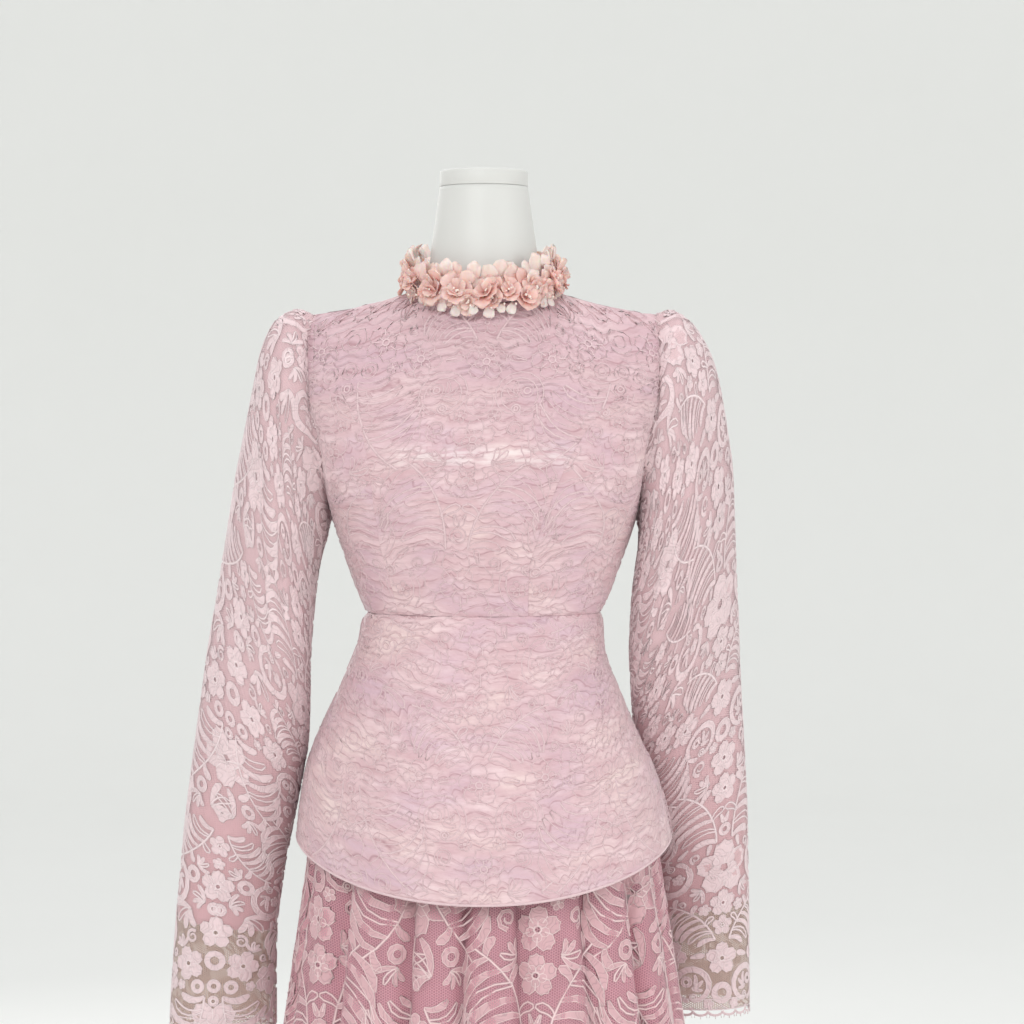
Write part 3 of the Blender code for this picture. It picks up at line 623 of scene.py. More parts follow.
@dataclass
class LacePattern:
    """Corded lace that repeats over a flat tile, drawn in millimetres."""

    detail: float = 1.0
    cord: float = 1.2
    filled: bool = True
    smallest: float = 4.2
    largest: float = 15.0
    clearance: float = 1.2
    cell: float = 2.5
    turn_step: float = 37.0

    def steps(self, count: int) -> int:
        """A number of points, fewer where the lace is drawn more coarsely."""
        return max(4, round(count * self.detail))

    def thread(self, line: np.ndarray, share: float = 1.0, fine: bool = False) -> Strip:
        """A cord along a line."""
        return Strip(*edges(line, self.cord * share / 2), True, fine)

    def blade(self, length: float, width: float, bend: float, start: tuple[float, float],
              heading: float, hollow: bool = False) -> list[Strip]:
        """A petal or leaf that widens from its start and ends round.

        Args:
            length: its length.
            width: its greatest width.
            bend: how far it turns.
            start: its foot.
            heading: its first direction.
            hollow: whether it is only a broad band round an opening.

        Returns:
            Its strips.
        """
        steps = self.steps(8)
        share = np.linspace(0.0, 1.0, steps) ** 0.9
        line, _ = bent(length, bend, steps, start, heading)
        half = width / 2 * (0.30 + 0.70 * share) * np.sqrt(1.0 - share ** 6 * 0.93)
        left, right = edges(line, half)
        rim = np.vstack([left, right[::-1], left[:1]])
        if hollow:
            return [self.thread(rim, 1.7)]
        return [Strip(left, right, False), self.thread(rim)]

    def ruffle(self, size: float, petals: int, turn: float) -> list[Strip]:
        """A ring of broad petals with wavy rims, as one pad with its cord."""
        steps = petals * (12 if size > RUFFLED_SIZE else max(5, self.steps(7)))
        angles = turn + math.pi / petals + np.linspace(0.0, 2 * math.pi, steps + 1)
        wave = np.abs(np.cos(petals / 2 * (angles - turn)))
        radius = size * (0.62 + 0.38 * wave ** 0.6)
        if size > RUFFLED_SIZE:
            radius = radius * (1.0 + 0.05 * np.cos(4 * petals * (angles - turn)))
        outer, inner = polar(radius, angles), polar(radius * 0.28, angles)
        strips = [Strip(inner, outer, False), self.thread(outer)]
        for petal in range(petals):
            notch = turn + (petal + 0.5) * 2 * math.pi / petals
            heading = np.array([math.cos(notch), math.sin(notch)])
            line = np.outer(np.linspace(0.34, 0.72, 3) * size, heading)
            strips.append(self.thread(line, 0.7, True))
        return strips

    def hoop(self, radius: float, share: float = 1.0) -> list[Strip]:
        """A small ring of cord."""
        return [self.thread(circle(radius, self.steps(14)), share, radius < FINE_RADIUS)]

    def flower(self, size: float) -> list[Strip]:
        """A ruffled flower of five petals with a smaller one on it."""
        strips = self.ruffle(size, 5, 0.0)
        if size > DOUBLE_SIZE:
            strips += self.ruffle(0.55 * size, 5, math.pi / 5)
        return strips + self.hoop(0.17 * size)

    def spray(self, size: float) -> list[Strip]:
        """Nested curled leaves inside a bent stem, and small ones outside it."""
        steps = self.steps(13)
        stem, turn = bent(size, 1.0, steps)
        strips = [self.thread(stem, 2.0)]
        places = np.arange(steps)
        leaves = [(along, 0.30 + 0.26 * math.sin(math.pi * along), 52, 1.35)
                  for along in np.linspace(0.0, 0.88, 7)]
        leaves += [(along, 0.17, -50, -1.0) for along in (0.3, 0.6, 0.9)]
        for order, (along, reach, lean, bend) in enumerate(leaves):
            at = along * (steps - 1)
            start = (float(np.interp(at, places, stem[:, 0])),
                     float(np.interp(at, places, stem[:, 1])))
            heading = float(np.interp(at, places, turn)) + math.radians(lean)
            strips += self.blade(reach * size, 0.095 * size, bend, start, heading, order % 3 == 1)
        return strips

    def scroll(self, size: float) -> list[Strip]:
        """A broad band rolled into a C, with a roundel and leaves inside it."""
        steps = self.steps(18)
        share = np.linspace(0.0, 1.0, steps)
        angles = share * 1.65 * math.pi
        radius = size * (1.0 - 0.10 * share)
        half = 0.15 * size * (0.55 + 0.45 * np.sin(math.pi * (0.15 + 0.85 * share)))
        left, right = edges(polar(radius, angles), half)
        strips = [Strip(left, right, False), self.thread(left, 1.2), self.thread(right, 1.2)]
        tip = polar(radius, angles)[-1] * 0.78
        for part, width in ((0.20, 1.6), (0.09, 1.0)):
            strips += [
                Strip(strip.left + tip, strip.right + tip, True, strip.fine)
                for strip in self.hoop(part * size, width)
            ]
        for heading in (2.3, 3.2, 4.1) if size > RUFFLED_SIZE else ():
            start = (0.62 * size * math.cos(heading), 0.62 * size * math.sin(heading))
            strips += self.blade(0.62 * size, 0.26 * size, 0.9, start, heading + 2.5)
        strips += self.blade(0.80 * size, 0.30 * size, -0.9, (size, 0.0), -math.pi / 2)
        return strips

    def curl(self, size: float) -> list[Strip]:
        """A small snail of broad band."""
        steps = self.steps(19)
        share = np.linspace(0.0, 1.0, steps)
        line = polar(size * (0.86 - 0.62 * share), share * 2.6 * math.pi)
        left, right = edges(line, 0.13 * size * (1.2 - share))
        return [Strip(left, right, False), self.thread(left), self.thread(right)]

    def fan(self, size: float) -> list[Strip]:
        """Curled leaves side by side from one foot."""
        strips = []
        for order, heading in enumerate((-0.75, -0.1, 0.55, 1.2)):
            length = size * (1.75 - 0.22 * order)
            strips += self.blade(length, 0.48 * size, 0.95, (-0.85 * size, -0.3 * size),
                                 heading - 0.45, order == 1)
        return strips

    def leaf(self, size: float) -> list[Strip]:
        """A single leaf with a vein."""
        vein, _ = bent(1.2 * size, 0.0, 3, (-size, 0.0))
        return self.blade(2 * size, size, 0.0, (-size, 0.0), 0.0) + [self.thread(vein, 0.8, True)]

    def arch(self, middle: float, base: float, half: float, rise: float, band: float,
             steps: int) -> list[Strip]:
        """One scallop of an edge, as a broad band with a cord.

        Args:
            middle: its place across the cloth.
            base: its place along the cloth.
            half: half its width.
            rise: how far it swells out.
            band: half the breadth of its band.
            steps: number of points.

        Returns:
            Its strips.
        """
        turn = np.linspace(0.0, math.pi, steps)
        arc = np.column_stack([middle + np.cos(turn) * half, -(base + np.sin(turn) * rise)])
        return [Strip(*edges(arc, band), False), self.thread(arc)]

    def foot(self, start: float, end: float, heights: tuple[float, float], steps: int,
             share: float = 1.0) -> list[Strip]:
        """Straight cords along an edge, one at each height."""
        line = np.linspace(start, end, steps)
        return [
            self.thread(np.column_stack([line, np.full(steps, height)]), share)
            for height in heights
        ]

    def ring(self, size: float) -> list[Strip]:
        """An eyelet with a broad rim."""
        outer = circle(size, self.steps(17))
        rim = [Strip(outer * 0.52, outer, False), self.thread(outer)]
        return rim + self.hoop(0.50 * size)

    def drawn(self, motif: Motif, size: float) -> list[Strip]:
        """The strips of one motif at the origin."""
        draw = {
            Motif.FLOWER: self.flower, Motif.SPRAY: self.spray, Motif.SCROLL: self.scroll,
            Motif.LEAF: self.leaf, Motif.RING: self.ring, Motif.CURL: self.curl,
            Motif.FAN: self.fan,
        }
        return draw[motif](size)

    def laid(self, spot: Spot) -> list[Strip]:
        """The strips of one motif at its place, and of its mirror image."""
        turn = math.radians(spot.turn)
        flip = -1.0 if spot.size < 0 else 1.0
        rotate = np.array([[math.cos(turn), math.sin(turn)], [-math.sin(turn), math.cos(turn)]])
        strips = []
        for side in (1.0, -1.0) if spot.mirrored else (1.0,):
            for left, right, cord, fine in self.drawn(spot.motif, abs(spot.size)):
                ends = [
                    (edge * (1.0, flip) @ rotate + (spot.x, spot.y)) * (side, 1.0)
                    for edge in (left, right)
                ]
                strips.append(Strip(ends[0], ends[1], cord, fine))
        return strips

    def nearest(self, cells: np.ndarray, strips: list[Strip]) -> np.ndarray:
        """Distance from each cell to the nearest work, over the repeat of the tile."""
        work = np.concatenate([
            strip.left if strip.cord else
            np.concatenate([strip.left, (strip.left + strip.right) / 2, strip.right])
            for strip in strips
        ])
        least = np.full(len(cells), np.inf)
        reach = self.largest + 1.0
        for across in (-TILE_WIDTH, 0.0, TILE_WIDTH):
            for up in (-TILE_HEIGHT, 0.0, TILE_HEIGHT):
                moved = work + (across, up)
                near = (moved > -reach) & (moved < (TILE_WIDTH / 2 + reach, TILE_HEIGHT + reach))
                for x, y in moved[near.all(axis=1)]:
                    least = np.minimum(least, (cells[:, 0] - x) ** 2 + (cells[:, 1] - y) ** 2)
        return np.sqrt(least)

    def fillers(self) -> list[Spot]:
        """Small motifs for the gaps between the placed ones, the widest gap first."""
        x = np.arange(0.0, TILE_WIDTH / 2 + self.cell, self.cell)
        y = np.arange(0.0, TILE_HEIGHT, self.cell)
        cells = np.stack(np.meshgrid(x, y), axis=-1).reshape(-1, 2)
        away = self.nearest(cells, [strip for spot in SPOTS for strip in self.laid(spot)])
        spots = []
        while away.max() > self.smallest + self.clearance:
            at = int(away.argmax())
            size = min(float(away[at]) - self.clearance, self.largest)
            spot_x, spot_y = (float(value) for value in cells[at])
            on_axis = spot_x < 0.5 or spot_x > TILE_WIDTH / 2 - 0.5
            kinds = next(kinds for least, kinds in GAP_FILLERS if size > least)
            kind = kinds[len(spots) % len(kinds)]
            if on_axis and kind in (Motif.CURL, Motif.FAN):
                kind = Motif.FLOWER
            turn = 90.0 if on_axis else self.turn_step * len(spots)
            spots.append(Spot(kind, spot_x, spot_y, turn, size, not on_axis))
            away = np.minimum(away, self.nearest(cells, self.laid(spots[-1])))
            own = np.hypot(*(cells - cells[at]).T)
            away = np.minimum(away, np.maximum(0.0, own - size))
        return spots

    def strips(self) -> list[Strip]:
        """Every strip of one tile: the placed motifs, and small ones in the gaps."""
        spots = SPOTS + tuple(_fillers or self.fillers())
        _fillers[:] = spots[len(SPOTS):]
        found = [strip for spot in spots for strip in self.laid(spot)]
        return [strip for strip in found if self.filled or strip.cord]


@dataclass(frozen=True)
class Relief:
    """Heights of cords and pads over the cloth, in millimetres."""

    cord_edge: float
    cord_top: float
    pad: float


OPEN_RELIEF = Relief(0.25, 1.15, 0.55)
MOUNTED_RELIEF = Relief(0.00, 0.75, 0.30)
WALL_RELIEF = Relief(0.45, 1.25, 0.80)
EDGING_REACH = 0.012
# cord edges carry the edge tone, which the lace finish paints as shade where a cord meets the cloth
EDGE_TONE, PAD_TONE, FINE_TONE, CREST_TONE = 0.0, 0.5, 0.8, 1.0
PAD_LEVELS = 5
PAD_LEVEL_STEP = 0.04


FINE_RISE = 0.25
CLOTH_EDGE = 0.001


class LaceWork:
    """Stations of many strips, ready to be put on a drape."""

    def __init__(self, strips: list[Strip], relief: Relief, scale: float = 1.0) -> None:
        """Gather the strips.

        Args:
            strips: the strips, in millimetres.
            relief: their heights over the cloth.
            scale: enlargement of the flat lace.
        """
        rows, lifts, tones, linked, ridged = [], [], [], [], []
        for index, (left, right, cord, fine) in enumerate(strips):
            count = len(left)
            rows.append(np.stack([left, (left + right) / 2, right], axis=1))
            ridge = cord and not fine
            pad = relief.pad + PAD_LEVEL_STEP * (index % PAD_LEVELS)
            if ridge:
                lift = (relief.cord_edge, relief.cord_top, relief.cord_edge)
                tone = (EDGE_TONE, CREST_TONE, EDGE_TONE)
            else:
                lift = (pad + FINE_RISE,) * 3 if fine else (pad,) * 3
                tone = (FINE_TONE,) * 3 if fine else (PAD_TONE,) * 3
            lifts.append(np.tile(lift, (count, 1)))
            tones.append(np.tile(tone, (count, 1)))
            linked.append(np.arange(count) < count - 1)
            ridged.append(np.full(count, ridge))
        self.flat = np.concatenate(rows) * MM * scale
        self.lift = np.concatenate(lifts) * MM
        self.tone = np.concatenate(tones)
        self.linked = np.concatenate(linked)
        self.ridged = np.concatenate(ridged)

    def on(self, name: str, drape: Drape, shifts: list[tuple[float, float]],
           upward: bool, finish: "LaceFinish", reach: float = -0.0015) -> bpy.types.Object:
        """Lay copies of the work on a drape and keep what falls on the cloth.

        Args:
            name: name of the piece.
            drape: the cloth.
            shifts: flat place of each copy.
            upward: whether flat lengths along the cloth grow upwards.
            finish: the thread's finish.
            reach: how far the work may run past the last row.

        Returns:
            The piece.
        """
        sign = 1.0 if upward else -1.0
        across = np.concatenate([self.flat[..., 0] + x for x, _ in shifts])
        along = np.concatenate([self.flat[..., 1] * sign + y for _, y in shifts])
        count = len(shifts)
        lift, tone = np.tile(self.lift, (count, 1)), np.tile(self.tone, (count, 1))
        linked, ridged = np.tile(self.linked, count), np.tile(self.ridged, count)
        near = (along.min(axis=1) > CLOTH_EDGE) & (along.max(axis=1) < drape.down[-1] + reach)
        spots, inside = drape.place(across.ravel(), along.ravel(), lift.ravel())
        valid = inside.reshape(-1, 3).all(axis=1) & near
        held = linked & valid & np.roll(valid, -1)
        ridge, flat = np.nonzero(held & ridged)[0] * 3, np.nonzero(held & ~ridged)[0] * 3
        quads = np.concatenate([
            np.stack([ridge, ridge + 1, ridge + 4, ridge + 3], axis=1),
            np.stack([ridge + 1, ridge + 2, ridge + 5, ridge + 4], axis=1),
            np.stack([flat, flat + 2, flat + 5, flat + 3], axis=1),
        ])
        used, faces = np.unique(quads, return_inverse=True)
        faces = faces.reshape(-1, 4)
        points = spots[used]
        thing = mesh_piece(name, points, turned_outwards(points, faces, drape), finish)
        tag(thing, "thread", tone.ravel()[used])
        return thing


def turned_outwards(points: np.ndarray, faces: np.ndarray, drape: Drape) -> np.ndarray:
    """The same faces, each turned away from the drape's middle."""
    corner = points[faces]
    normal = np.cross(corner[:, 2] - corner[:, 0], corner[:, 3] - corner[:, 1])
    middle = drape.heart()
    order = np.argsort(middle[:, 2])
    centre = corner.mean(axis=1)
    base = np.column_stack([
        np.interp(centre[:, 2], middle[order, 2], middle[order, axis]) for axis in range(2)
    ])
    inward = ((centre[:, :2] - base) * normal[:, :2]).sum(axis=1) < 0
    return np.where(inward[:, None], faces[:, ::-1], faces)


def tiles(drape: Drape, start: float, side: float = 0.0, scale: float = 1.0) -> list:
    """Flat places of the tiles that cover a drape.

    Args:
        drape: the cloth.
        start: where along the cloth the first tile starts, in metres.
        side: how far across the tiles are moved, in metres.
        scale: enlargement of the flat lace.

    Returns:
        The places, in metres.
    """
    width, height = TILE_WIDTH * MM * scale, TILE_HEIGHT * MM * scale
    least, most = drape.across.min() - side, drape.across.max() - side
    columns = range(math.floor(least / width - 0.5), math.ceil(most / width + 0.5) + 1)
    rows = range(-1, math.ceil(drape.down[-1] / height) + 2)
    return [(column * width + side, start + row * height) for column in columns for row in rows]


# ---- meshes ------------------------------------------------------------------------------


DOUBLE = 0.02 * MM


def placed(name: str, data: bpy.types.ID) -> bpy.types.Object:
    """A new object of the scene, at the origin."""
    thing = bpy.data.objects.new(name, data)
    bpy.context.scene.collection.objects.link(thing)
    return thing


def mesh_piece(name: str, points: np.ndarray, faces: np.ndarray | list,
               finish: "Finish") -> bpy.types.Object:
    """A smooth-shaded object at the origin from points and faces."""
    mesh = bpy.data.meshes.new(name)
    mesh.from_pydata(points.tolist(), [], faces if isinstance(faces, list) else faces.tolist())
    mesh.materials.append(finish.build())
    mesh.polygons.foreach_set("use_smooth", np.ones(len(mesh.polygons), dtype=bool))
    return placed(name, mesh)


def lattice(rows: int, columns: int, wrapped: bool = False) -> np.ndarray:
    """Four-sided faces over rows of points, each row a ring if wrapped."""
    index = np.arange(rows * columns).reshape(rows, columns)
    beside = np.roll(index, -1, axis=1)
    quads = np.stack([index[:-1], beside[:-1], beside[1:], index[1:]], axis=-1)
    return (quads if wrapped else quads[:, :-1]).reshape(-1, 4)


def revolved(profile: list[tuple[float, float]], steps: int) -> tuple[np.ndarray, np.ndarray]:
    """Points and faces of a shape turned about the middle.

    Args:
        profile: radius and height of each point of its outline.
        steps: number of points round it.

    Returns:
        The points and the faces.
    """
    angles = np.linspace(0.0, 2 * math.pi, steps, endpoint=False)
    points = [
        (radius * math.cos(angle), radius * math.sin(angle), z)
        for radius, z in profile for angle in angles
    ]
    return np.array(points), lattice(len(profile), steps, True)


def tag(thing: bpy.types.Object, label: str, values: np.ndarray) -> None:
    """Give each point of a piece a number that its finish reads."""
    layer = thing.data.attributes.new(label, "FLOAT", "POINT")
    layer.data.foreach_set("value", values)


def cloth(name: str, drape: Drape, finish: "Finish", wall: float = 0.0) -> bpy.types.Object:
    """A cloth shell on a drape, with its flat lengths as UV map.

    Args:
        name: name of the piece.
        drape: its surface.
        finish: its finish.
        wall: thickness, or 0 for a single layer.

    Returns:
        The piece.
    """
    quads = lattice(drape.rows, drape.columns)
    if drape.flipped:
        quads = quads[:, ::-1]
    flat = drape.flat().reshape(-1, 2)
    points, corners = drape.points, quads
    if drape.closed:
        row, column = np.divmod(quads, drape.columns)
        kept = drape.columns - 1
        points, corners = points[:, :-1], row * kept + column % kept
    thing = mesh_piece(name, points.reshape(-1, 3), corners, finish)
    layer = thing.data.uv_layers.new(name="flat")
    layer.data.foreach_set("uv", flat[quads.reshape(-1)].reshape(-1))
    if wall:
        thicken(thing, wall)
    return thing


def thicken(thing: bpy.types.Object, wall: float) -> None:
    """Give a single layer its thickness, half on each side."""
    solid = thing.modifiers.new("Wall", "SOLIDIFY")
    solid.thickness = wall
    solid.offset = 0.0
    select_only(thing)
    bpy.ops.object.modifier_apply(modifier=solid.name)
    thing.select_set(False)


def select_only(thing: bpy.types.Object) -> None:
    """Make one object the selected and the active one."""
    bpy.ops.object.select_all(action="DESELECT")
    thing.select_set(True)
    bpy.context.view_layer.objects.active = thing


def outward_faces(thing: bpy.types.Object) -> None:
    """Turn the faces of a shell outwards."""
    select_only(thing)
    bpy.ops.object.mode_set(mode="EDIT")
    bpy.ops.mesh.select_all(action="SELECT")
    bpy.ops.mesh.remove_doubles(threshold=DOUBLE)
    bpy.ops.mesh.normals_make_consistent(inside=False)
    bpy.ops.object.mode_set(mode="OBJECT")
    thing.select_set(False)


def settle(thing: bpy.types.Object, slot: str, *nodes: str) -> bpy.types.Object:
    """Let a piece ride the stand and stand for its CAD nodes."""
    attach(thing, "root")
    if nodes:
        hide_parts(*nodes)
    log.info("%s: %d faces", thing.name, len(thing.data.polygons))
    return thing


def state_cut(drape: Drape,
              extra: tuple[bpy.types.Object, ...] = ()) -> None:
    """Measure the flat cut of a cloth piece; the measure is not used.

    Args:
        drape: its surface.
        extra: the separate pieces on it; not used.
    """
    width, length = drape.size()


# ---- finishes ----------------------------------------------------------------------------


class Nodes:
    """Short ways to add and join the nodes of one material."""

    def __init__(self, name: str) -> None:
        """Start a material with its Principled shader."""
        self.material = bpy.data.materials.new(name)
        self.material.use_nodes = True
        self.tree = self.material.node_tree
        self.surface = self.tree.nodes["Principled BSDF"]

    def add(self, kind: str, inputs: dict | None = None, **settings: object) -> bpy.types.Node:
        """Add a node.

        Args:
            kind: Blender's name of the node type.
            inputs: values or sockets for its inputs.
            settings: properties of the node.

        Returns:
            The node.
        """
        node = self.tree.nodes.new(kind)
        for key, value in settings.items():
            setattr(node, key, value)
        for key, value in (inputs or {}).items():
            self.put(node.inputs[key], value)
        return node

    def put(self, socket: bpy.types.NodeSocket, value: object) -> None:
        """Link an input to another socket, or set its value or colour."""
        if isinstance(value, bpy.types.NodeSocket):
            self.tree.links.new(value, socket)
        else:
            socket.default_value = (*value, 1.0) if socket.type == "RGBA" else value

    def math(self, operation: str, *values: object) -> bpy.types.NodeSocket:
        """The result of a Math node."""
        return self.add("ShaderNodeMath", dict(enumerate(values)), operation=operation).outputs[0]

    def times(self, first: object, *others: object) -> bpy.types.NodeSocket:
        """The product of values or sockets."""
        for value in others:
            first = self.math("MULTIPLY", first, value)
        return first

    def contours(self, height: bpy.types.NodeSocket, rate: float) -> bpy.types.NodeSocket:
        """How far a height lies from the middle of its step, from 0 to a half."""
        saw = self.math("FRACT", self.times(height, rate))
        return self.math("ABSOLUTE", self.math("SUBTRACT", saw, 0.5))

    def attribute(self, label: str) -> bpy.types.NodeSocket:
        """The number that each point of the piece has."""
        return self.add("ShaderNodeAttribute", attribute_name=label).outputs["Fac"]

    def axes(self, where: bpy.types.NodeSocket) -> bpy.types.NodeOutputs:
        """The coordinates of a place."""
        return self.add("ShaderNodeSeparateXYZ", {0: where}).outputs

    def place(self, stretch: tuple[float, float, float] | None = None,
              uv: bool = False) -> bpy.types.NodeSocket:
        """Object coordinates or the flat UV map, stretched if asked."""
        if uv:
            start = self.add("ShaderNodeUVMap", uv_map="flat").outputs["UV"]
        else:
            start = self.add("ShaderNodeTexCoord").outputs["Object"]
        if stretch is None:
            return start
        return self.add("ShaderNodeMapping", {"Vector": start, "Scale": stretch}).outputs[0]

    def noise(self, where: bpy.types.NodeSocket, scale: float, detail: float = 3.0,
              roughness: float = 0.55) -> bpy.types.NodeSocket:
        """A noise pattern."""
        inputs = {"Vector": where, "Scale": scale, "Detail": detail, "Roughness": roughness}
        return self.add("ShaderNodeTexNoise", inputs).outputs["Fac"]

    def ramp(self, value: bpy.types.NodeSocket, low: float, high: float,
             first: float = 0.0, last: float = 1.0) -> bpy.types.NodeSocket:
        """A value moved from one range to another, with its ends held."""
        inputs = {0: value, 1: low, 2: high, 3: first, 4: last}
        return self.add("ShaderNodeMapRange", inputs).outputs[0]

    def mix(self, share: bpy.types.NodeSocket, first: object, last: object) -> bpy.types.NodeSocket:
        """A mix of two colours."""
        inputs = {0: share, 6: first, 7: last}
        return self.add("ShaderNodeMix", inputs, data_type="RGBA").outputs[2]

    def bump(self, height: bpy.types.NodeSocket, strength: float, distance: float,
             under: bpy.types.NodeSocket | None = None) -> bpy.types.NodeSocket:
        """A bump of one height, over another if given."""
        inputs = {"Height": height, "Strength": strength, "Distance": distance}
        if under is not None:
            inputs["Normal"] = under
        return self.add("ShaderNodeBump", inputs).outputs[0]

    def faded(self, colour: bpy.types.NodeSocket, share: float) -> bpy.types.NodeSocket:
        """A colour that goes over to the lace's own towards the top of the sleeves."""
        rise = self.axes(self.place())[2]
        return self.mix(self.ramp(rise, *FADE_RISE, 0.0, share), colour, LACE_PINK)

    def finish(self, colour: object, **sockets: object) -> bpy.types.Material:
        """Connect the colour and the other sockets of the shader.

        Args:
            colour: a colour or a socket.
            sockets: values or sockets, by socket name with _ for blanks.

        Returns:
            The material.
        """
        for key, value in {"Base Color": colour, **sockets}.items():
            self.put(self.surface.inputs[key.replace("_", " ")], value)
        return self.material


def shade(colour: Colour, factor: float) -> Colour:
    """A darker or paler tone of a colour."""
    return tuple(min(1.0, part * factor) for part in colour)


LACE_PINK = (0.85, 0.655, 0.68)
FADE_RISE = (0.80, 1.02)
_built: dict[str, bpy.types.Material] = {}


@dataclass(frozen=True)
class Finish:
    """A finish that is built once and then shared."""

    name: str

    def build(self) -> bpy.types.Material:
        """The finish's material."""
        if self.name not in _built:
            _built[self.name] = self.make(Nodes(self.name))
        return _built[self.name]

    def make(self, nodes: Nodes) -> bpy.types.Material:
        """Build the material."""
        raise NotImplementedError


@dataclass(frozen=True)
class MountedFinish(Finish):
    """Corded lace mounted on satin: wavy scalloped lines over a mottled pink ground, with painted
    shade along the lines and a painted highlight band across the bust.
    """

    pale: Colour = (0.84, 0.635, 0.655)
    deep: Colour = (0.66, 0.43, 0.46)
    dusky: Colour = (0.585, 0.38, 0.42)
    mauve: Colour = (0.66, 0.46, 0.54)
    cream: Colour = (0.88, 0.70, 0.67)
    # colour of the painted shade along the wavy lines
    crease: Colour = (0.42, 0.22, 0.25)
    # colour of the painted highlight band across the bust
    painted_highlight: Colour = (0.96, 0.88, 0.87)
    spacing: float = 0.0095
    scallop: float = 0.0040
    scallop_width: float = 0.024

    def line(self, nodes: Nodes, height: bpy.types.NodeSocket, spacing: float) -> tuple:
        """A fine line of painted shade and a rounded ridge beside it, at each step of a height."""
        away = nodes.contours(height, 1.0 / spacing)
        return nodes.ramp(away, 0.0, 0.075, 1.0, 0.0), nodes.ramp(away, 0.05, 0.30, 1.0, 0.0)

    def make(self, nodes: Nodes) -> bpy.types.Material:
        """Build the material."""
        flat = nodes.place(uv=True)
        where = nodes.axes(flat)
        sway, small = nodes.noise(flat, 11.0, 1.0), nodes.noise(flat, 52.0, 1.0)
        angle = nodes.math("MULTIPLY_ADD", where[0], math.pi / self.scallop_width,
                           nodes.times(sway, 26.0))
        rise = nodes.math("ABSOLUTE", nodes.math("SINE", angle))
        height = nodes.math("MULTIPLY_ADD", rise, self.scallop, where[1])
        height = nodes.math("MULTIPLY_ADD", sway, 0.062, height)
        height = nodes.math("MULTIPLY_ADD", small, 0.010, height)
        blotch = nodes.noise(nodes.place((17.0, 38.0, 1.0), uv=True), 1.3, 3.0, 0.6)
        near, low = self.line(nodes, height, self.spacing)
        far, high = self.line(nodes, height, 1.7 * self.spacing)
        dense = nodes.ramp(blotch, 0.44, 0.52)
        sparse = nodes.ramp(blotch, 0.54, 0.46)
        # painted shade: fine dark lines along the wavy ridges
        painted_line_shade = nodes.math("MAXIMUM", nodes.times(near, dense), nodes.times(far, sparse))
        ridge = nodes.math("MAXIMUM", nodes.times(low, dense), nodes.times(high, sparse))
        fine = nodes.noise(nodes.place((260.0, 900.0, 1.0), uv=True), 1.0, 2.0, 0.6)
        crinkle = nodes.noise(nodes.place((40.0, 200.0, 1.0), uv=True), 1.0, 3.0, 0.60)
        axes = nodes.axes(nodes.place())
        reach, ahead, rise = nodes.math("ABSOLUTE", axes[0]), axes[1], axes[2]
        upper = nodes.ramp(rise, 1.21, 1.32)
        # painted highlight: a pale scalloped band where light catches the fold across the bust
        bust = nodes.times(
            nodes.ramp(rise, 1.203, 1.212), nodes.ramp(rise, 1.231, 1.220),
            nodes.ramp(crinkle, 0.40, 0.56, 0.0, 0.45), nodes.ramp(reach, 0.105, 0.070),
            nodes.ramp(ahead, 0.0, -0.05),
        )
        hue = nodes.noise(nodes.place((7.0, 13.0, 1.0), uv=True), 1.3, 2.0)
        ground = nodes.mix(nodes.ramp(blotch, 0.33, 0.66), self.deep, self.pale)
        for share, tint in (
            (nodes.ramp(hue, 0.50, 0.36, 0.0, 0.75), self.mauve),
            (nodes.ramp(hue, 0.53, 0.66, 0.0, 0.70), self.cream),
            (nodes.ramp(crinkle, 0.30, 0.58, 0.62, 0.0), self.deep),
            (nodes.times(upper, 0.50), self.dusky),
            (bust, self.painted_highlight),
            (nodes.times(painted_line_shade, nodes.math("MULTIPLY_ADD", upper, 0.05, 0.72)), self.crease),
        ):
            ground = nodes.mix(share, ground, tint)
        rough = nodes.math("MULTIPLY_ADD", upper, 0.5, 0.9)
        bump = nodes.bump(nodes.times(ridge, rough), 0.9, 0.0010)
        bump = nodes.bump(nodes.times(crinkle, rough), 0.7, 0.0016, bump)
        bump = nodes.bump(fine, 0.5, 0.0006, bump)
        return nodes.finish(
            ground, Roughness=nodes.ramp(fine, 0.3, 0.7, 0.28, 0.46), Normal=bump,
            Sheen_Weight=0.25, Sheen_Roughness=0.4,
        )


@dataclass(frozen=True)
class NetFinish(Finish):
    """Fine six-sided net with clear holes."""

    colour: Colour = (0.74, 0.47, 0.49)
    pitch: float = 2.3 * MM
    hole: float = 0.16
    thread: float = 0.92
    fade: float = 0.0

    def make(self, nodes: Nodes) -> bpy.types.Material:
        """Build the material."""
        where = nodes.axes(nodes.place(uv=True))
        rate = 4 * math.pi / (math.sqrt(3) * self.pitch)
        waves = []
        for degrees in (0.0, 60.0, 120.0):
            x, y = rate * math.cos(math.radians(degrees)), rate * math.sin(math.radians(degrees))
            along = nodes.math("ADD", nodes.times(where[0], x), nodes.times(where[1], y))
            waves.append(nodes.math("COSINE", along))
        total = nodes.math("ADD", nodes.math("ADD", waves[0], waves[1]), waves[2])
        cover = nodes.ramp(total, -0.75, 0.35, self.thread, self.hole)
        patch = nodes.noise(nodes.place(), 60.0, 3.0)
        colour = nodes.faded(nodes.mix(patch, self.colour, shade(self.colour, 1.15)), self.fade)
        return nodes.finish(
            colour, Alpha=cover, Roughness=0.62, Sheen_Weight=0.2, Sheen_Roughness=0.5,
        )


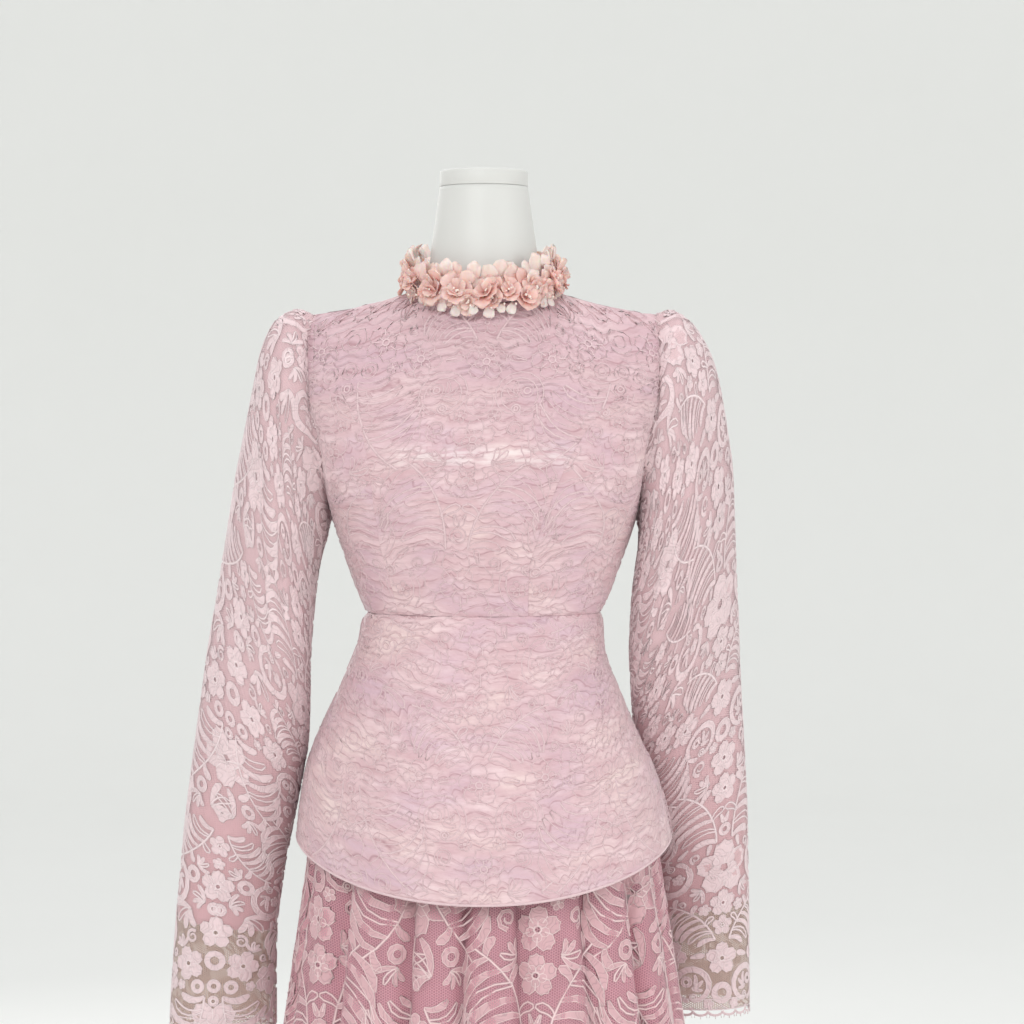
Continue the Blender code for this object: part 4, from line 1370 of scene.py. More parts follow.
@dataclass(frozen=True)
class LaceFinish(Finish):
    """Cords and pads of clothwork, with painted shade where a cord meets the cloth and along fine
    grooves in the pads.
    """

    pad: Colour = (0.87, 0.68, 0.70)
    cord: Colour = (0.94, 0.81, 0.82)
    # how dark the painted shade is, as a share of the pad colour
    rim: float = 0.60
    patchy: float = 0.45
    # strength of the painted shade along the fine grooves in the pads
    vein: float = 0.50

    def make(self, nodes: Nodes) -> bpy.types.Material:
        """Build the material."""
        tone = nodes.attribute("thread")
        ribs = nodes.noise(nodes.place((500.0, 500.0, 900.0)), 1.0, 2.0)
        patch = nodes.noise(nodes.place(), 26.0, 3.0)
        weave = nodes.noise(nodes.place((1500.0, 1500.0, 420.0)), 1.0, 1.0)
        dark, low = shade(self.pad, 0.82), shade(self.pad, self.rim)
        pad = nodes.mix(nodes.ramp(patch, 0.35, 0.7, self.patchy, 0.0), self.pad, dark)
        pad = nodes.mix(nodes.ramp(weave, 0.35, 0.65, 0.30, 0.0), pad, dark)
        away = nodes.contours(nodes.noise(nodes.place(), 48.0, 1.0), 11.0)
        # painted shade along fine grooves in the pads
        pad = nodes.mix(nodes.ramp(away, 0.0, 0.10, self.vein, 0.0), pad, low)
        # painted shade at the cord edges, where a cord meets the cloth
        colour = nodes.mix(nodes.ramp(tone, EDGE_TONE, PAD_TONE), low, pad)
        colour = nodes.mix(nodes.ramp(tone, PAD_TONE, CREST_TONE), colour, self.cord)
        bump = nodes.bump(ribs, 0.45, 0.0006)
        bump = nodes.bump(nodes.ramp(away, 0.0, 0.25), 0.6, 0.0006, bump)
        bump = nodes.bump(weave, 0.35, 0.0004, bump)
        return nodes.finish(
            colour, Roughness=nodes.ramp(ribs, 0.3, 0.7, 0.45, 0.68), Normal=bump,
            Sheen_Weight=0.35, Sheen_Roughness=0.4,
        )


@dataclass(frozen=True)
class SatinFinish(Finish):
    """Satin with a soft gloss and faint drag lines."""

    colour: Colour = (0.62, 0.315, 0.36)
    fade: float = 0.0

    def make(self, nodes: Nodes) -> bpy.types.Material:
        """Build the material."""
        drag = nodes.noise(nodes.place((26.0, 5.0, 1.0), uv=True), 1.0, 4.0)
        weave = nodes.noise(nodes.place((900.0, 240.0, 1.0), uv=True), 1.0, 2.0)
        bump = nodes.bump(drag, 0.5, 0.0045)
        bump = nodes.bump(weave, 0.2, 0.0004, bump)
        pale = shade(self.colour, 1.16)
        colour = nodes.faded(nodes.mix(nodes.ramp(drag, 0.3, 0.7), self.colour, pale), self.fade)
        return nodes.finish(
            colour, Roughness=nodes.ramp(weave, 0.3, 0.7, 0.30, 0.42), Normal=bump,
            Sheen_Weight=0.4, Sheen_Roughness=0.3,
        )


@dataclass(frozen=True)
class PetalFinish(Finish):
    """Thin stiffened petals, salmon at the heart and pale at the rim."""

    heart: Colour = (0.80, 0.27, 0.22)
    rim: Colour = (0.93, 0.60, 0.55)
    white: Colour = (0.95, 0.82, 0.77)

    def make(self, nodes: Nodes) -> bpy.types.Material:
        """Build the material."""
        patch = nodes.noise(nodes.place(), 190.0, 3.0)
        reach = nodes.ramp(nodes.attribute("reach"), 0.05, 0.75)
        warm = nodes.mix(reach, self.heart, self.rim)
        colour = nodes.mix(nodes.attribute("tint"), warm, self.white)
        colour = nodes.mix(nodes.ramp(patch, 0.35, 0.7, 0.18, 0.0), colour, self.heart)
        return nodes.finish(
            colour, Roughness=0.42, Normal=nodes.bump(patch, 0.35, 0.0010),
            Subsurface_Weight=0.25, Subsurface_Scale=0.004, Sheen_Weight=0.2,
        )


@dataclass(frozen=True)
class HardFinish(Finish):
    """Moulded plastic, paint, pearl or brushed steel."""

    colour: Colour = (0.86, 0.86, 0.84)
    roughness: float = 0.35
    metallic: float = 0.0
    coat: float = 0.0
    grain: float = 60.0
    stretch: float = 1.0

    def make(self, nodes: Nodes) -> bpy.types.Material:
        """Build the material."""
        grain = nodes.noise(nodes.place((1.0, 1.0, self.stretch)), self.grain, 3.0)
        worn = nodes.ramp(nodes.noise(nodes.place(), 7.0, 2.0), 0.4, 0.7)
        colour = nodes.mix(worn, self.colour, shade(self.colour, 0.965))
        rough = nodes.ramp(grain, 0.3, 0.7, self.roughness * 0.9, self.roughness * 1.12)
        return nodes.finish(
            colour, Roughness=rough, Metallic=self.metallic, Coat_Weight=self.coat,
            Normal=nodes.bump(grain, 0.10, 0.0003),
        )


MOUNTED_WORK = LacePattern(0.7, 1.0, False)
MOUNTED = MountedFinish("mounted_lace_cloth")
MOUNTED_THREAD = LaceFinish("mounted_lace_thread", (0.74, 0.53, 0.555), (0.80, 0.61, 0.63), 0.78)
NET = NetFinish("lace_net", fade=0.6)
THREAD = LaceFinish("lace_thread")
SKIRT_THREAD = LaceFinish("skirt_lace_thread", (0.73, 0.45, 0.48), (0.91, 0.75, 0.74), 0.50)
# darker tan cuff net: partly a tan net and partly painted shade inside the open cuffs
CUFF_NET = NetFinish("cuff_net", (0.52, 0.38, 0.33), 2.3 * MM, 0.34, 0.96)
SKIRT_NET = NetFinish("skirt_net", (0.66, 0.34, 0.39), 2.6 * MM, 0.20, 0.94)
SLEEVE_SATIN = SatinFinish("sleeve_satin", (0.74, 0.46, 0.50), 0.6)
SKIRT_SATIN = SatinFinish("skirt_satin", (0.54, 0.20, 0.275))
PETAL = PetalFinish("petals")
PEARL = HardFinish("pearl_beads", (0.93, 0.82, 0.74), 0.22, 0.0, 0.6, 400.0)
FORM_PLASTIC = HardFinish("form_plastic", (0.68, 0.68, 0.655), 0.42)
STEEL = HardFinish("brushed_steel_tube", (0.62, 0.63, 0.64), 0.30, 1.0, 0.0, 900.0, 0.02)
BASE_PAINT = HardFinish("base_powder_coat", (0.84, 0.84, 0.83), 0.42, 0.0, 0.0, 1500.0)


# ---- the top ---------------------------------------------------------------------------


def crinkles(drape: Drape, strength: np.ndarray | float, seed: float) -> np.ndarray:
    """Fine wavy crinkles that run across the cloth, as heights.

    Args:
        drape: the cloth.
        strength: height of the crinkles, over the cloth or for all of it.
        seed: moves the pattern.

    Returns:
        The height at each point.
    """
    flat = drape.flat()
    x, y = flat[..., 0], flat[..., 1]
    sway = 0.006 * np.sin(x * 62 + seed) + 0.004 * np.sin(x * 121 + 2.3 * seed + y * 40)
    total = np.sin((y + sway) * 480 + 1.5 * np.sin(x * 37 + seed))
    total += 0.8 * np.sin((y - 0.8 * sway) * 700 + 2.0 * np.sin(x * 55 + 1.7 * seed))
    patches = 0.55 + 0.45 * np.sin(x * 45 + y * 70 + seed) * np.sin(x * 31 - y * 95 + seed)
    return strength * total * patches


@dataclass
class Bodice:
    """The fitted bodice: centre front, two side fronts and two backs."""

    row_step: float = 0.0032
    seam: float = 0.0003
    underlap: float = 0.012
    groove: float = 0.0011
    waist_reach: float = 0.0022
    seam_reach: float = 0.0025
    seam_end_z: float = 1.265
    crinkle: float = 0.00030
    chest_z: float = 1.20
    fold_z: float = 1.2165
    fold_height: float = 0.0015
    columns: int = 64
    side_columns: int = 18
    lace_scale: float = 1.35
    lace_start: float = -0.02

    def shares(self, start: float, end: float, count: int) -> np.ndarray:
        """Column places, closer together at both edges."""
        inner = np.linspace(0.0, 1.0, count)
        eased = 0.5 - 0.5 * np.cos(math.pi * inner)
        return start + (end - start) * (0.65 * inner + 0.35 * eased)

    def positions(self, last: float) -> np.ndarray:
        """Row positions from the waist up."""
        first = WAIST_RETREAT / (FRONT_ROWS[1].z_centre - FRONT_ROWS[0].z_centre)
        count = int((FRONT_ROWS[min(TOP_ROW, round(last))].z_centre - WAIST_Z) / self.row_step)
        return np.linspace(first, last, count)

    def dressed(self, name: str, grid: list[np.ndarray], seed: float, sewn: bool) -> None:
        """Build one panel with its crinkles, seam edge and lace.

        Args:
            name: the CAD node it stands for.
            grid: its rows.
            seed: moves its crinkles.
            sewn: whether a seam is pressed in along its first column.
        """
        drape = Drape(np.array(grid))
        height = drape.points[..., 2]
        rise = np.clip((height - self.chest_z) / 0.12, 0.0, 1.0)
        low = np.clip((self.chest_z - 0.01 - height) / 0.08, 0.0, 1.0)
        strength = self.crinkle * (0.75 + 1.9 * rise + 0.5 * low)
        depth = crinkles(drape, strength, seed)
        if name == "bodice_front":
            depth += self.bust_ridge(drape)
        waist = np.exp(-(drape.down / self.waist_reach) ** 2)
        depth -= self.groove * 0.9 * waist[:, None]
        if sewn:
            reach = np.abs(drape.across - drape.across[:, :1])
            seam = self.groove * np.exp(-(reach / self.seam_reach) ** 2)
            if "side" in name:
                seam = seam * np.clip((self.seam_end_z - height) / 0.045, 0.22, 1.0)
            depth -= seam
        drape = drape.moved(depth)
        piece = settle(cloth(name, drape, MOUNTED), "mounted_lace", name)
        work = LaceWork(MOUNTED_WORK.strips(), MOUNTED_RELIEF, self.lace_scale)
        shifts = tiles(drape, self.lace_start, 0.0, self.lace_scale)
        lace = work.on(f"{name}_lace", drape, shifts, True, MOUNTED_THREAD)
        state_cut(drape, (settle(lace, "mounted_lace"),))

    def bust_ridge(self, drape: Drape) -> np.ndarray:
        """The soft uneven fold across the bust, as heights."""
        x, z = drape.points[..., 0], drape.points[..., 2]
        wave = 0.0022 * np.sin(x * 95) + 0.0012 * np.sin(x * 210 + 1.0)
        fold = np.exp(-((z - self.fold_z - wave) / 0.0055) ** 2)
        fold -= 0.55 * np.exp(-((z - self.fold_z + 0.0130 - wave) / 0.0045) ** 2)
        return self.fold_height * fold * np.clip(1.25 - (x / 0.085) ** 2, 0.0, 1.0)

    def build(self) -> None:
        """Build the five panels."""
        grid = []
        for position in self.positions(TOP_ROW - SHOULDER_RETREAT):
            sewn = position < SEAM_END_ROW
            right = -seam_share(position, Side.RIGHT) + (self.seam if sewn else 0)
            left = seam_share(position, Side.LEFT) - (self.seam if sewn else 0)
            grid.append(bodice_line(Face.FRONT, position, self.shares(right, left, self.columns)))
        self.dressed("bodice_front", grid, 0.4, False)
        for side, label, seed in ((Side.LEFT, "left", 1.3), (Side.RIGHT, "right", 2.9)):
            grid = []
            for position in self.positions(SIDE_PANEL_END):
                start = seam_share(position, side) - self.underlap
                shares = side.value * self.shares(start, 1.0, self.side_columns)
                grid.append(bodice_line(Face.FRONT, position, shares))
            self.dressed(f"bodice_side_front_{label}", grid, seed, True)
            grid = []
            for position in self.positions(TOP_ROW - SHOULDER_RETREAT):
                shares = side.value * self.shares(2 * self.seam, 1.0, self.columns // 2 + 4)
                grid.append(bodice_line(Face.BACK, position, shares))
            self.dressed(f"bodice_back_{label}", grid, seed + 2.1, True)


@dataclass
class Peplum:
    """The smooth flared peplum, sewn at the sides."""

    rows: int = 78
    columns: int = 102
    wall: float = 0.0011
    roll: float = 0.0014
    crinkle: float = 0.00020
    groove: float = 0.0010
    groove_reach: float = 0.0025
    seam: float = 0.0011
    billow: float = 0.0022
    tuck_in: float = 0.0030
    tuck_up: float = 0.0040
    lace_scale: float = 1.35
    lace_start: float = 0.10

    def hem(self, angles: np.ndarray) -> np.ndarray:
        """Height of the hem, which is lowest at the front and the back."""
        turn = np.cos(angles)
        far = np.where(turn > 0, HEM_FRONT_Z, HEM_BACK_Z)
        return HEM_SIDE_Z + (far - HEM_SIDE_Z) * np.abs(turn) ** HEM_CURVE

    def panel(self, middle: float) -> Drape:
        """The front or back surface round its middle angle."""
        table = np.array(PEPLUM_ROWS)
        reach = math.pi / 2 - self.seam
        angles = np.linspace(middle - reach, middle + reach, self.columns)
        hem = self.hem(angles)
        start = WAIST_Z - WAIST_RETREAT
        grid = []
        for position in np.linspace(0.0, len(table) - 1, self.rows):
            drop, half, front, back, shift = smooth(table, position)
            x, y = oval(angles, half, front, back, PEPLUM_FULLNESS, shift)
            grid.append(np.column_stack([x, y, start + (hem - start) * drop]))
        return Drape(np.array(grid))

    def build(self) -> None:
        """Build the front and the back."""
        for face, middle, seed in ((Face.FRONT, 0.0, 0.9), (Face.BACK, math.pi, 3.3)):
            name = f"peplum_{face.value}"
            drape = self.panel(middle)
            depth = crinkles(drape, self.crinkle, seed)
            depth -= self.groove * np.exp(-(drape.down / self.groove_reach) ** 2)[:, None]
            ease = np.sin(drape.across / drape.across[:, -1:] * 2.4 + seed)
            sag = np.clip(drape.down / drape.down[-1], 0, 1)[:, None] ** 2
            drape = drape.moved(depth + self.billow * ease * sag)
            tucked = drape.points[:1] - drape.normals[:1] * self.tuck_in + (0.0, 0.0, self.tuck_up)
            drape = Drape(np.concatenate([tucked, drape.points]))
            piece = settle(cloth(name, drape, MOUNTED, self.wall), "mounted_lace", name)
            work = LaceWork(MOUNTED_WORK.strips(), WALL_RELIEF, self.lace_scale)
            shifts = tiles(drape, self.lace_start, 0.0, self.lace_scale)
            lace = work.on(f"{name}_lace", drape, shifts, False, MOUNTED_THREAD)
            roll = rolled(f"{name}_hem", drape, self.roll, MOUNTED_THREAD)
            extra = tuple(settle(thing, "mounted_lace") for thing in (lace, roll))
            state_cut(drape, extra)


ROLL_SIDES = 8


def rolled(name: str, drape: Drape, radius: float, finish: LaceFinish) -> bpy.types.Object:
    """A rolled edge along the last row of a drape, closed at both ends."""
    line, out = drape.points[-1], drape.normals[-1]
    heading = np.gradient(line, axis=0)
    heading /= np.linalg.norm(heading, axis=1, keepdims=True)
    down = np.cross(out, heading)
    angles = np.linspace(0.0, 2 * math.pi, ROLL_SIDES, endpoint=False)
    ring = out[:, None] * np.cos(angles)[None, :, None]
    ring = ring + down[:, None] * np.sin(angles)[None, :, None]
    points = np.concatenate([(line[:, None] + ring * radius).reshape(-1, 3), line[:1], line[-1:]])
    first = len(line) * ROLL_SIDES
    sides = [(side, (side + 1) % ROLL_SIDES) for side in range(ROLL_SIDES)]
    ends = [[first, after, side] for side, after in sides]
    foot = first - ROLL_SIDES
    ends += [[first + 1, foot + side, foot + after] for side, after in sides]
    faces = lattice(len(line), ROLL_SIDES, True).tolist() + ends
    thing = mesh_piece(name, points, faces, finish)
    outward_faces(thing)
    tag(thing, "thread", np.full(len(thing.data.vertices), FINE_TONE))
    return thing


@dataclass
class Sleeve:
    """A long lace sleeve over a satin lining, with an open scalloped cuff."""

    side: Side
    rows: int = 150
    columns: int = 72
    gathers: float = 0.0016
    gather_count: int = 15
    gather_rows: float = 1.1
    allowance: float = 0.0045
    least_drop: float = 0.012
    scallop: float = 0.0155
    scallop_rise: float = 4.5
    lining_wall: float = 0.0008
    lace_scale: float = 1.15
    lace_start: float = 0.06

    def armhole(self) -> np.ndarray:
        """Closed ring on the armhole, from the underarm round the shoulder."""
        turns = np.linspace(-math.pi, math.pi, self.columns + 1)
        ring = []
        for turn in turns:
            face = Face.FRONT if turn >= 0 else Face.BACK
            lowered = abs(turn) / math.pi
            position = TOP_ROW - lowered * (TOP_ROW - UNDERARM_ROW)
            point = bodice_line(face, position, np.array([1.0]))[0]
            point[0] = self.side.value * (point[0] + ARMHOLE_GAP + UNDERARM_GAP * lowered)
            ring.append(point)
        return np.array(ring)

    def ring(self, ring: SleeveRing) -> np.ndarray:
        """Oval ring through its outer and inner points."""
        turns = np.linspace(-math.pi, math.pi, self.columns + 1)
        outer = np.array([ring.outer_x, ring.outer_z])
        inner = np.array([ring.inner_x, ring.inner_z])
        middle, reach = (outer + inner) / 2, (outer - inner) / 2
        spots = middle + reach * np.cos(turns)[:, None]
        y = ring.back - ring.depth * np.sin(turns)
        return np.column_stack([self.side.value * spots[:, 0], y, spots[:, 1]])

    def surface(self) -> tuple[Drape, np.ndarray]:
        """The whole sleeve down to the cuff edge, and the ring position of each row."""
        rings = np.array([self.armhole()] + [self.ring(r) for r in SLEEVE_ROWS[self.side]])
        drops = np.linalg.norm(np.diff(rings[:, self.columns // 2], axis=0), axis=1)
        down = np.concatenate([[0.0], np.cumsum(np.maximum(drops, self.least_drop))])
        places = np.interp(np.linspace(0.0, down[-1], self.rows), down, np.arange(len(rings)))
        drape = Drape(np.array([smooth(rings, place) for place in places]), True)
        turns = np.degrees(np.linspace(-math.pi, math.pi, self.columns + 1))[None, :]
        level = places[:, None]
        depth = np.zeros(drape.points.shape[:2])
        for crease in SLEEVE_CREASES:
            away = (turns - crease.turn - crease.slope * (level - crease.ring) + 180) % 360 - 180
            fade = np.exp(-((level - crease.ring) / crease.length) ** 2)
            depth += crease.height * MM * np.exp(-(away / crease.spread) ** 2) * fade
        head = np.exp(-(level / self.gather_rows) ** 2) * np.clip(1.2 - np.abs(turns) / 100, 0, 1)
        wave = np.cos(np.radians(turns) * self.gather_count + 0.6 * np.sin(level * 2.2))
        depth += self.gathers * wave * head * np.clip(level * 3, 0, 1)
        points = drape.moved(depth).points
        sewn = points[:1] + 0.15 * (points[1:2] - points[:1])
        sewn[..., 0] -= self.side.value * self.allowance
        return Drape(np.concatenate([sewn, points]), True), np.concatenate([[0.0], places])

    def edging(self, width: float, length: float) -> list[Strip]:
        """Scallops, eyelash threads and a foot cord along the cuff edge, in millimetres."""
        pattern = LacePattern(detail=0.9, cord=1.1)
        strips = []
        count = round(width / self.scallop)
        half, base, rise = width / MM / count / 2, length / MM - 1.5, self.scallop_rise
        for index in range(count):
            middle = (2 * index + 1 - count) * half
            strips += pattern.arch(middle, base, half, rise, 1.3, 8)
            for angle in (math.pi / 4, math.pi / 2, 3 * math.pi / 4):
                across, out = math.cos(angle), math.sin(angle)
                root = np.array([middle + across * half, -(base + out * rise)])
                thread = np.array([root, root + (across * 1.5, -4.0)])
                strips.append(pattern.thread(thread, 0.45))
        end = count * half - 0.5
        return strips + pattern.foot(-end, end, (1.5 - base, 12.5 - base), 3 * count, 1.3)

    def build(self) -> None:
        """Build the sleeve, its lining, its cuff and their lace."""
        label = self.side.name.lower()
        whole, places = self.surface()
        split = int(np.searchsorted(places, CUFF_ROW))
        arm = Drape(whole.points[:split + 1], True)
        cuff = Drape(whole.points[split:self.rows], True)
        lining = Drape(arm.points[::-2, ::2][::-1], True).moved(-SLEEVE_LINING_INSET)
        work = LaceWork(LacePattern(0.7).strips(), OPEN_RELIEF, self.lace_scale)
        shifts = tiles(whole, self.lace_start, SLEEVE_LACE_SIDE[self.side], self.lace_scale)
        lace = work.on(f"sleeve_{label}_lace", whole, shifts, False, THREAD)
        settle(lace, "lace")
        width = float(np.ptp(whole.across[-1]))
        edge = LaceWork(self.edging(width, float(whole.down[-1])), OPEN_RELIEF)
        trim = edge.on(f"cuff_{label}_edging", whole, [(0.0, 0.0)], False, THREAD, EDGING_REACH)
        settle(trim, "lace")
        pieces = (
            (f"sleeve_{label}", arm, NET, "lace", (lace,), 0.0),
            (f"cuff_{label}", cuff, CUFF_NET, "lace", (trim,), 0.0),
            (f"sleeve_lining_{label}", lining, SLEEVE_SATIN, "satin", (), self.lining_wall),
        )
        for name, drape, finish, slot, extra, wall in pieces:
            piece = settle(cloth(name, drape, finish, wall), slot, name)
            state_cut(drape, extra)


# ---- the collar -------------------------------------------------------------------------


PETAL_ROWS, PETAL_COLUMNS = 6, 5


class Bloom(NamedTuple):
    """One kind of blossom or loose petal in the collar's trim, in metres."""

    count: int
    shift: float
    level: float
    stand: float
    size: float
    breadth: float
    petals: int
    layers: int
    cup: float
    tilt: float
    jitter: float
    heading: float
    tint: float
    beads: int


UP, DOWN = math.pi / 2, -math.pi / 2
TRIM = (
    Bloom(50, 0.0, 0.0225, 0.0080, 0.0205, 0.66, 1, 1, 0.30, 0.05, 0.34, UP, 0.92, 0),
    Bloom(38, 0.5, 0.0150, 0.0125, 0.0185, 0.88, 1, 1, 0.46, 0.10, 0.48, UP, 0.40, 0),
    Bloom(16, 0.0, 0.0140, 0.0130, 0.0150, 1.02, 5, 2, 0.48, 0.25, 0.48, 0.0, 0.15, 3),
    Bloom(18, 0.5, 0.0070, 0.0135, 0.0145, 1.05, 5, 2, 0.48, -0.15, 0.48, 0.6, 0.28, 3),
    Bloom(30, 0.2, 0.0035, 0.0150, 0.0120, 0.95, 1, 1, 0.45, -0.25, 0.30, DOWN, 0.97, 1),
)


@dataclass
class Collar:
    """The stand collar band, and the blossoms and loose petals round it."""

    lift: float = 0.0011
    height: float = 0.020
    lean: float = 0.95
    wall: float = 0.0012
    rows: int = 6
    steps: int = 160
    opening: float = math.radians(0.6)
    droop: float = 0.0030
    petal_wall: float = 0.00030
    seed: int = 5

    def point(self, angle: float, lift: float, lean: float) -> np.ndarray:
        """Point over the neckline, raised and leaned inwards."""
        front = math.cos(angle) >= 0
        point = neckline(angle if front else math.pi - angle, Face.FRONT if front else Face.BACK)
        return np.array([point[0] * lean, NECK_Y + (point[1] - NECK_Y) * lean, point[2] + lift])

    def build(self) -> None:
        """Build the band and the trim."""
        angles = np.linspace(-math.pi + self.opening, math.pi - self.opening, self.steps)
        grid = []
        for share in np.linspace(0.0, 1.0, self.rows):
            lift = self.lift + (self.height - self.lift) * share
            lean = 1.0 + (self.lean - 1.0) * share
            grid.append([self.point(angle, lift, lean) for angle in angles])
        drape = Drape(np.array(grid))
        band = cloth("collar_band", drape, MOUNTED, self.wall)
        settle(band, "mounted_lace", "collar_band")
        state_cut(drape)
        self.blossoms()

    def petal(self, heading: float, length: float, width: float, cup: float,
              curl: float) -> np.ndarray:
        """One petal in a flower's own frame, with z along the flower's axis.

        Args:
            heading: direction round the axis.
            length: from the heart to the tip.
            width: widest measure.
            cup: how far the petal rises, as a share of its length.
            curl: how far its rim bends back.

        Returns:
            Its points, row by row from the heart.
        """
        share = np.linspace(0.0, 1.0, PETAL_ROWS)[:, None]
        side = np.linspace(-1.0, 1.0, PETAL_COLUMNS)[None, :]
        half = width / 2 * (0.26 + 0.74 * np.sin(math.pi * np.minimum(1.0, 0.10 + 0.62 * share)))
        half = np.where(share > 0.95, half * 0.62, half)
        along = length * (0.10 + 0.90 * share) - 0.09 * length * side ** 2 * share ** 4
        across = half * side
        rise = length * (cup * share ** 1.2 - curl * share ** 3) + 0 * side
        rise = rise + 0.17 * width * side ** 2 * (0.4 + 0.6 * share)
        rise = rise + 0.035 * width * np.sin(side * 5.0 + 9.0 * heading) * share ** 2
        cos, sin = math.cos(heading), math.sin(heading)
        spots = np.stack([along * cos - across * sin, along * sin + across * cos, rise], axis=-1)
        return spots.reshape(-1, 3)

    def blossoms(self) -> None:
        """Build the petals and the beads of the trim."""
        chance = np.random.default_rng(self.seed)
        petals, beads = [], []
        for kind in TRIM:
            for number in range(kind.count):
                place = number + kind.shift + chance.uniform(-0.22, 0.22)
                angle = 2 * math.pi * place / kind.count
                outward = np.array([math.sin(angle), -math.cos(angle), 0.0])
                size = kind.size * chance.uniform(0.80, 1.18)
                base = self.point(angle, kind.level + chance.uniform(-0.0015, 0.0015), 1.0)
                base = base + outward * kind.stand
                base[2] -= self.droop * max(0.0, math.cos(angle))
                axis = outward + np.array([0.0, 0.0, kind.tilt])
                axis = axis + chance.uniform(-1, 1, 3) * kind.jitter
                axis /= np.linalg.norm(axis)
                across = np.cross([0.0, 0.0, 1.0], axis)
                across /= np.linalg.norm(across)
                frame_axes = np.array([across, np.cross(axis, across), axis])
                tint = float(np.clip(chance.normal(kind.tint, 0.16), 0.0, 1.0))
                start = kind.heading + chance.uniform(-0.5, 0.5)
                for layer in range(kind.layers):
                    share = 1.0 - 0.40 * layer
                    for petal in range(kind.petals):
                        heading = start + petal * 2 * math.pi / kind.petals + 0.6 * layer
                        spots = self.petal(
                            heading, size * share * chance.uniform(0.88, 1.12),
                            size * share * kind.breadth * chance.uniform(0.9, 1.12),
                            (kind.cup + 0.45 * layer) * chance.uniform(0.7, 1.25),
                            chance.uniform(0.05, 0.42),
                        )
                        petals.append((base + spots @ frame_axes, tint + 0.15 * layer * (1 - tint)))
                for _ in range(kind.beads):
                    spot = chance.uniform(-0.18, 0.18, 3) * size + (0.0, 0.0, 0.42 * size)
                    beads.append((base + spot @ frame_axes, chance.uniform(0.0009, 0.0017)))
        quads, each = lattice(PETAL_ROWS, PETAL_COLUMNS), PETAL_ROWS * PETAL_COLUMNS
        points = np.concatenate([spots for spots, _ in petals])
        faces = np.concatenate([quads + each * order for order in range(len(petals))])
        piece = mesh_piece("flower_trim", points, faces, PETAL)
        reach = np.repeat(np.linspace(0.0, 1.0, PETAL_ROWS), PETAL_COLUMNS)
        tag(piece, "reach", np.tile(reach, len(petals)))
        tag(piece, "tint", np.repeat([tint for _, tint in petals], each))
        thicken(piece, self.petal_wall)
        settle(piece, "blossom", "flower_trim")
        self.pearls(beads)

    def pearls(self, beads: list[tuple[np.ndarray, float]]) -> None:
        """Build the pearl beads in the hearts of the blossoms.

        Args:
            beads: the middle and radius of each.
        """
        bpy.ops.object.select_all(action="DESELECT")
        bpy.ops.mesh.primitive_uv_sphere_add(segments=7, ring_count=5, radius=1.0)
        ball = bpy.context.object
        unit = np.array([vert.co[:] for vert in ball.data.vertices])
        corner = [np.array(face.vertices[:]) for face in ball.data.polygons]
        bpy.data.objects.remove(ball)
        points = np.concatenate([unit * radius + spot for spot, radius in beads])
        faces = [(face + len(unit) * index).tolist() for index in range(len(beads))
                 for face in corner]
        settle(mesh_piece("flower_trim_pearls", points, faces, PEARL), "blossom")


# ---- the skirt -------------------------------------------------------------------------


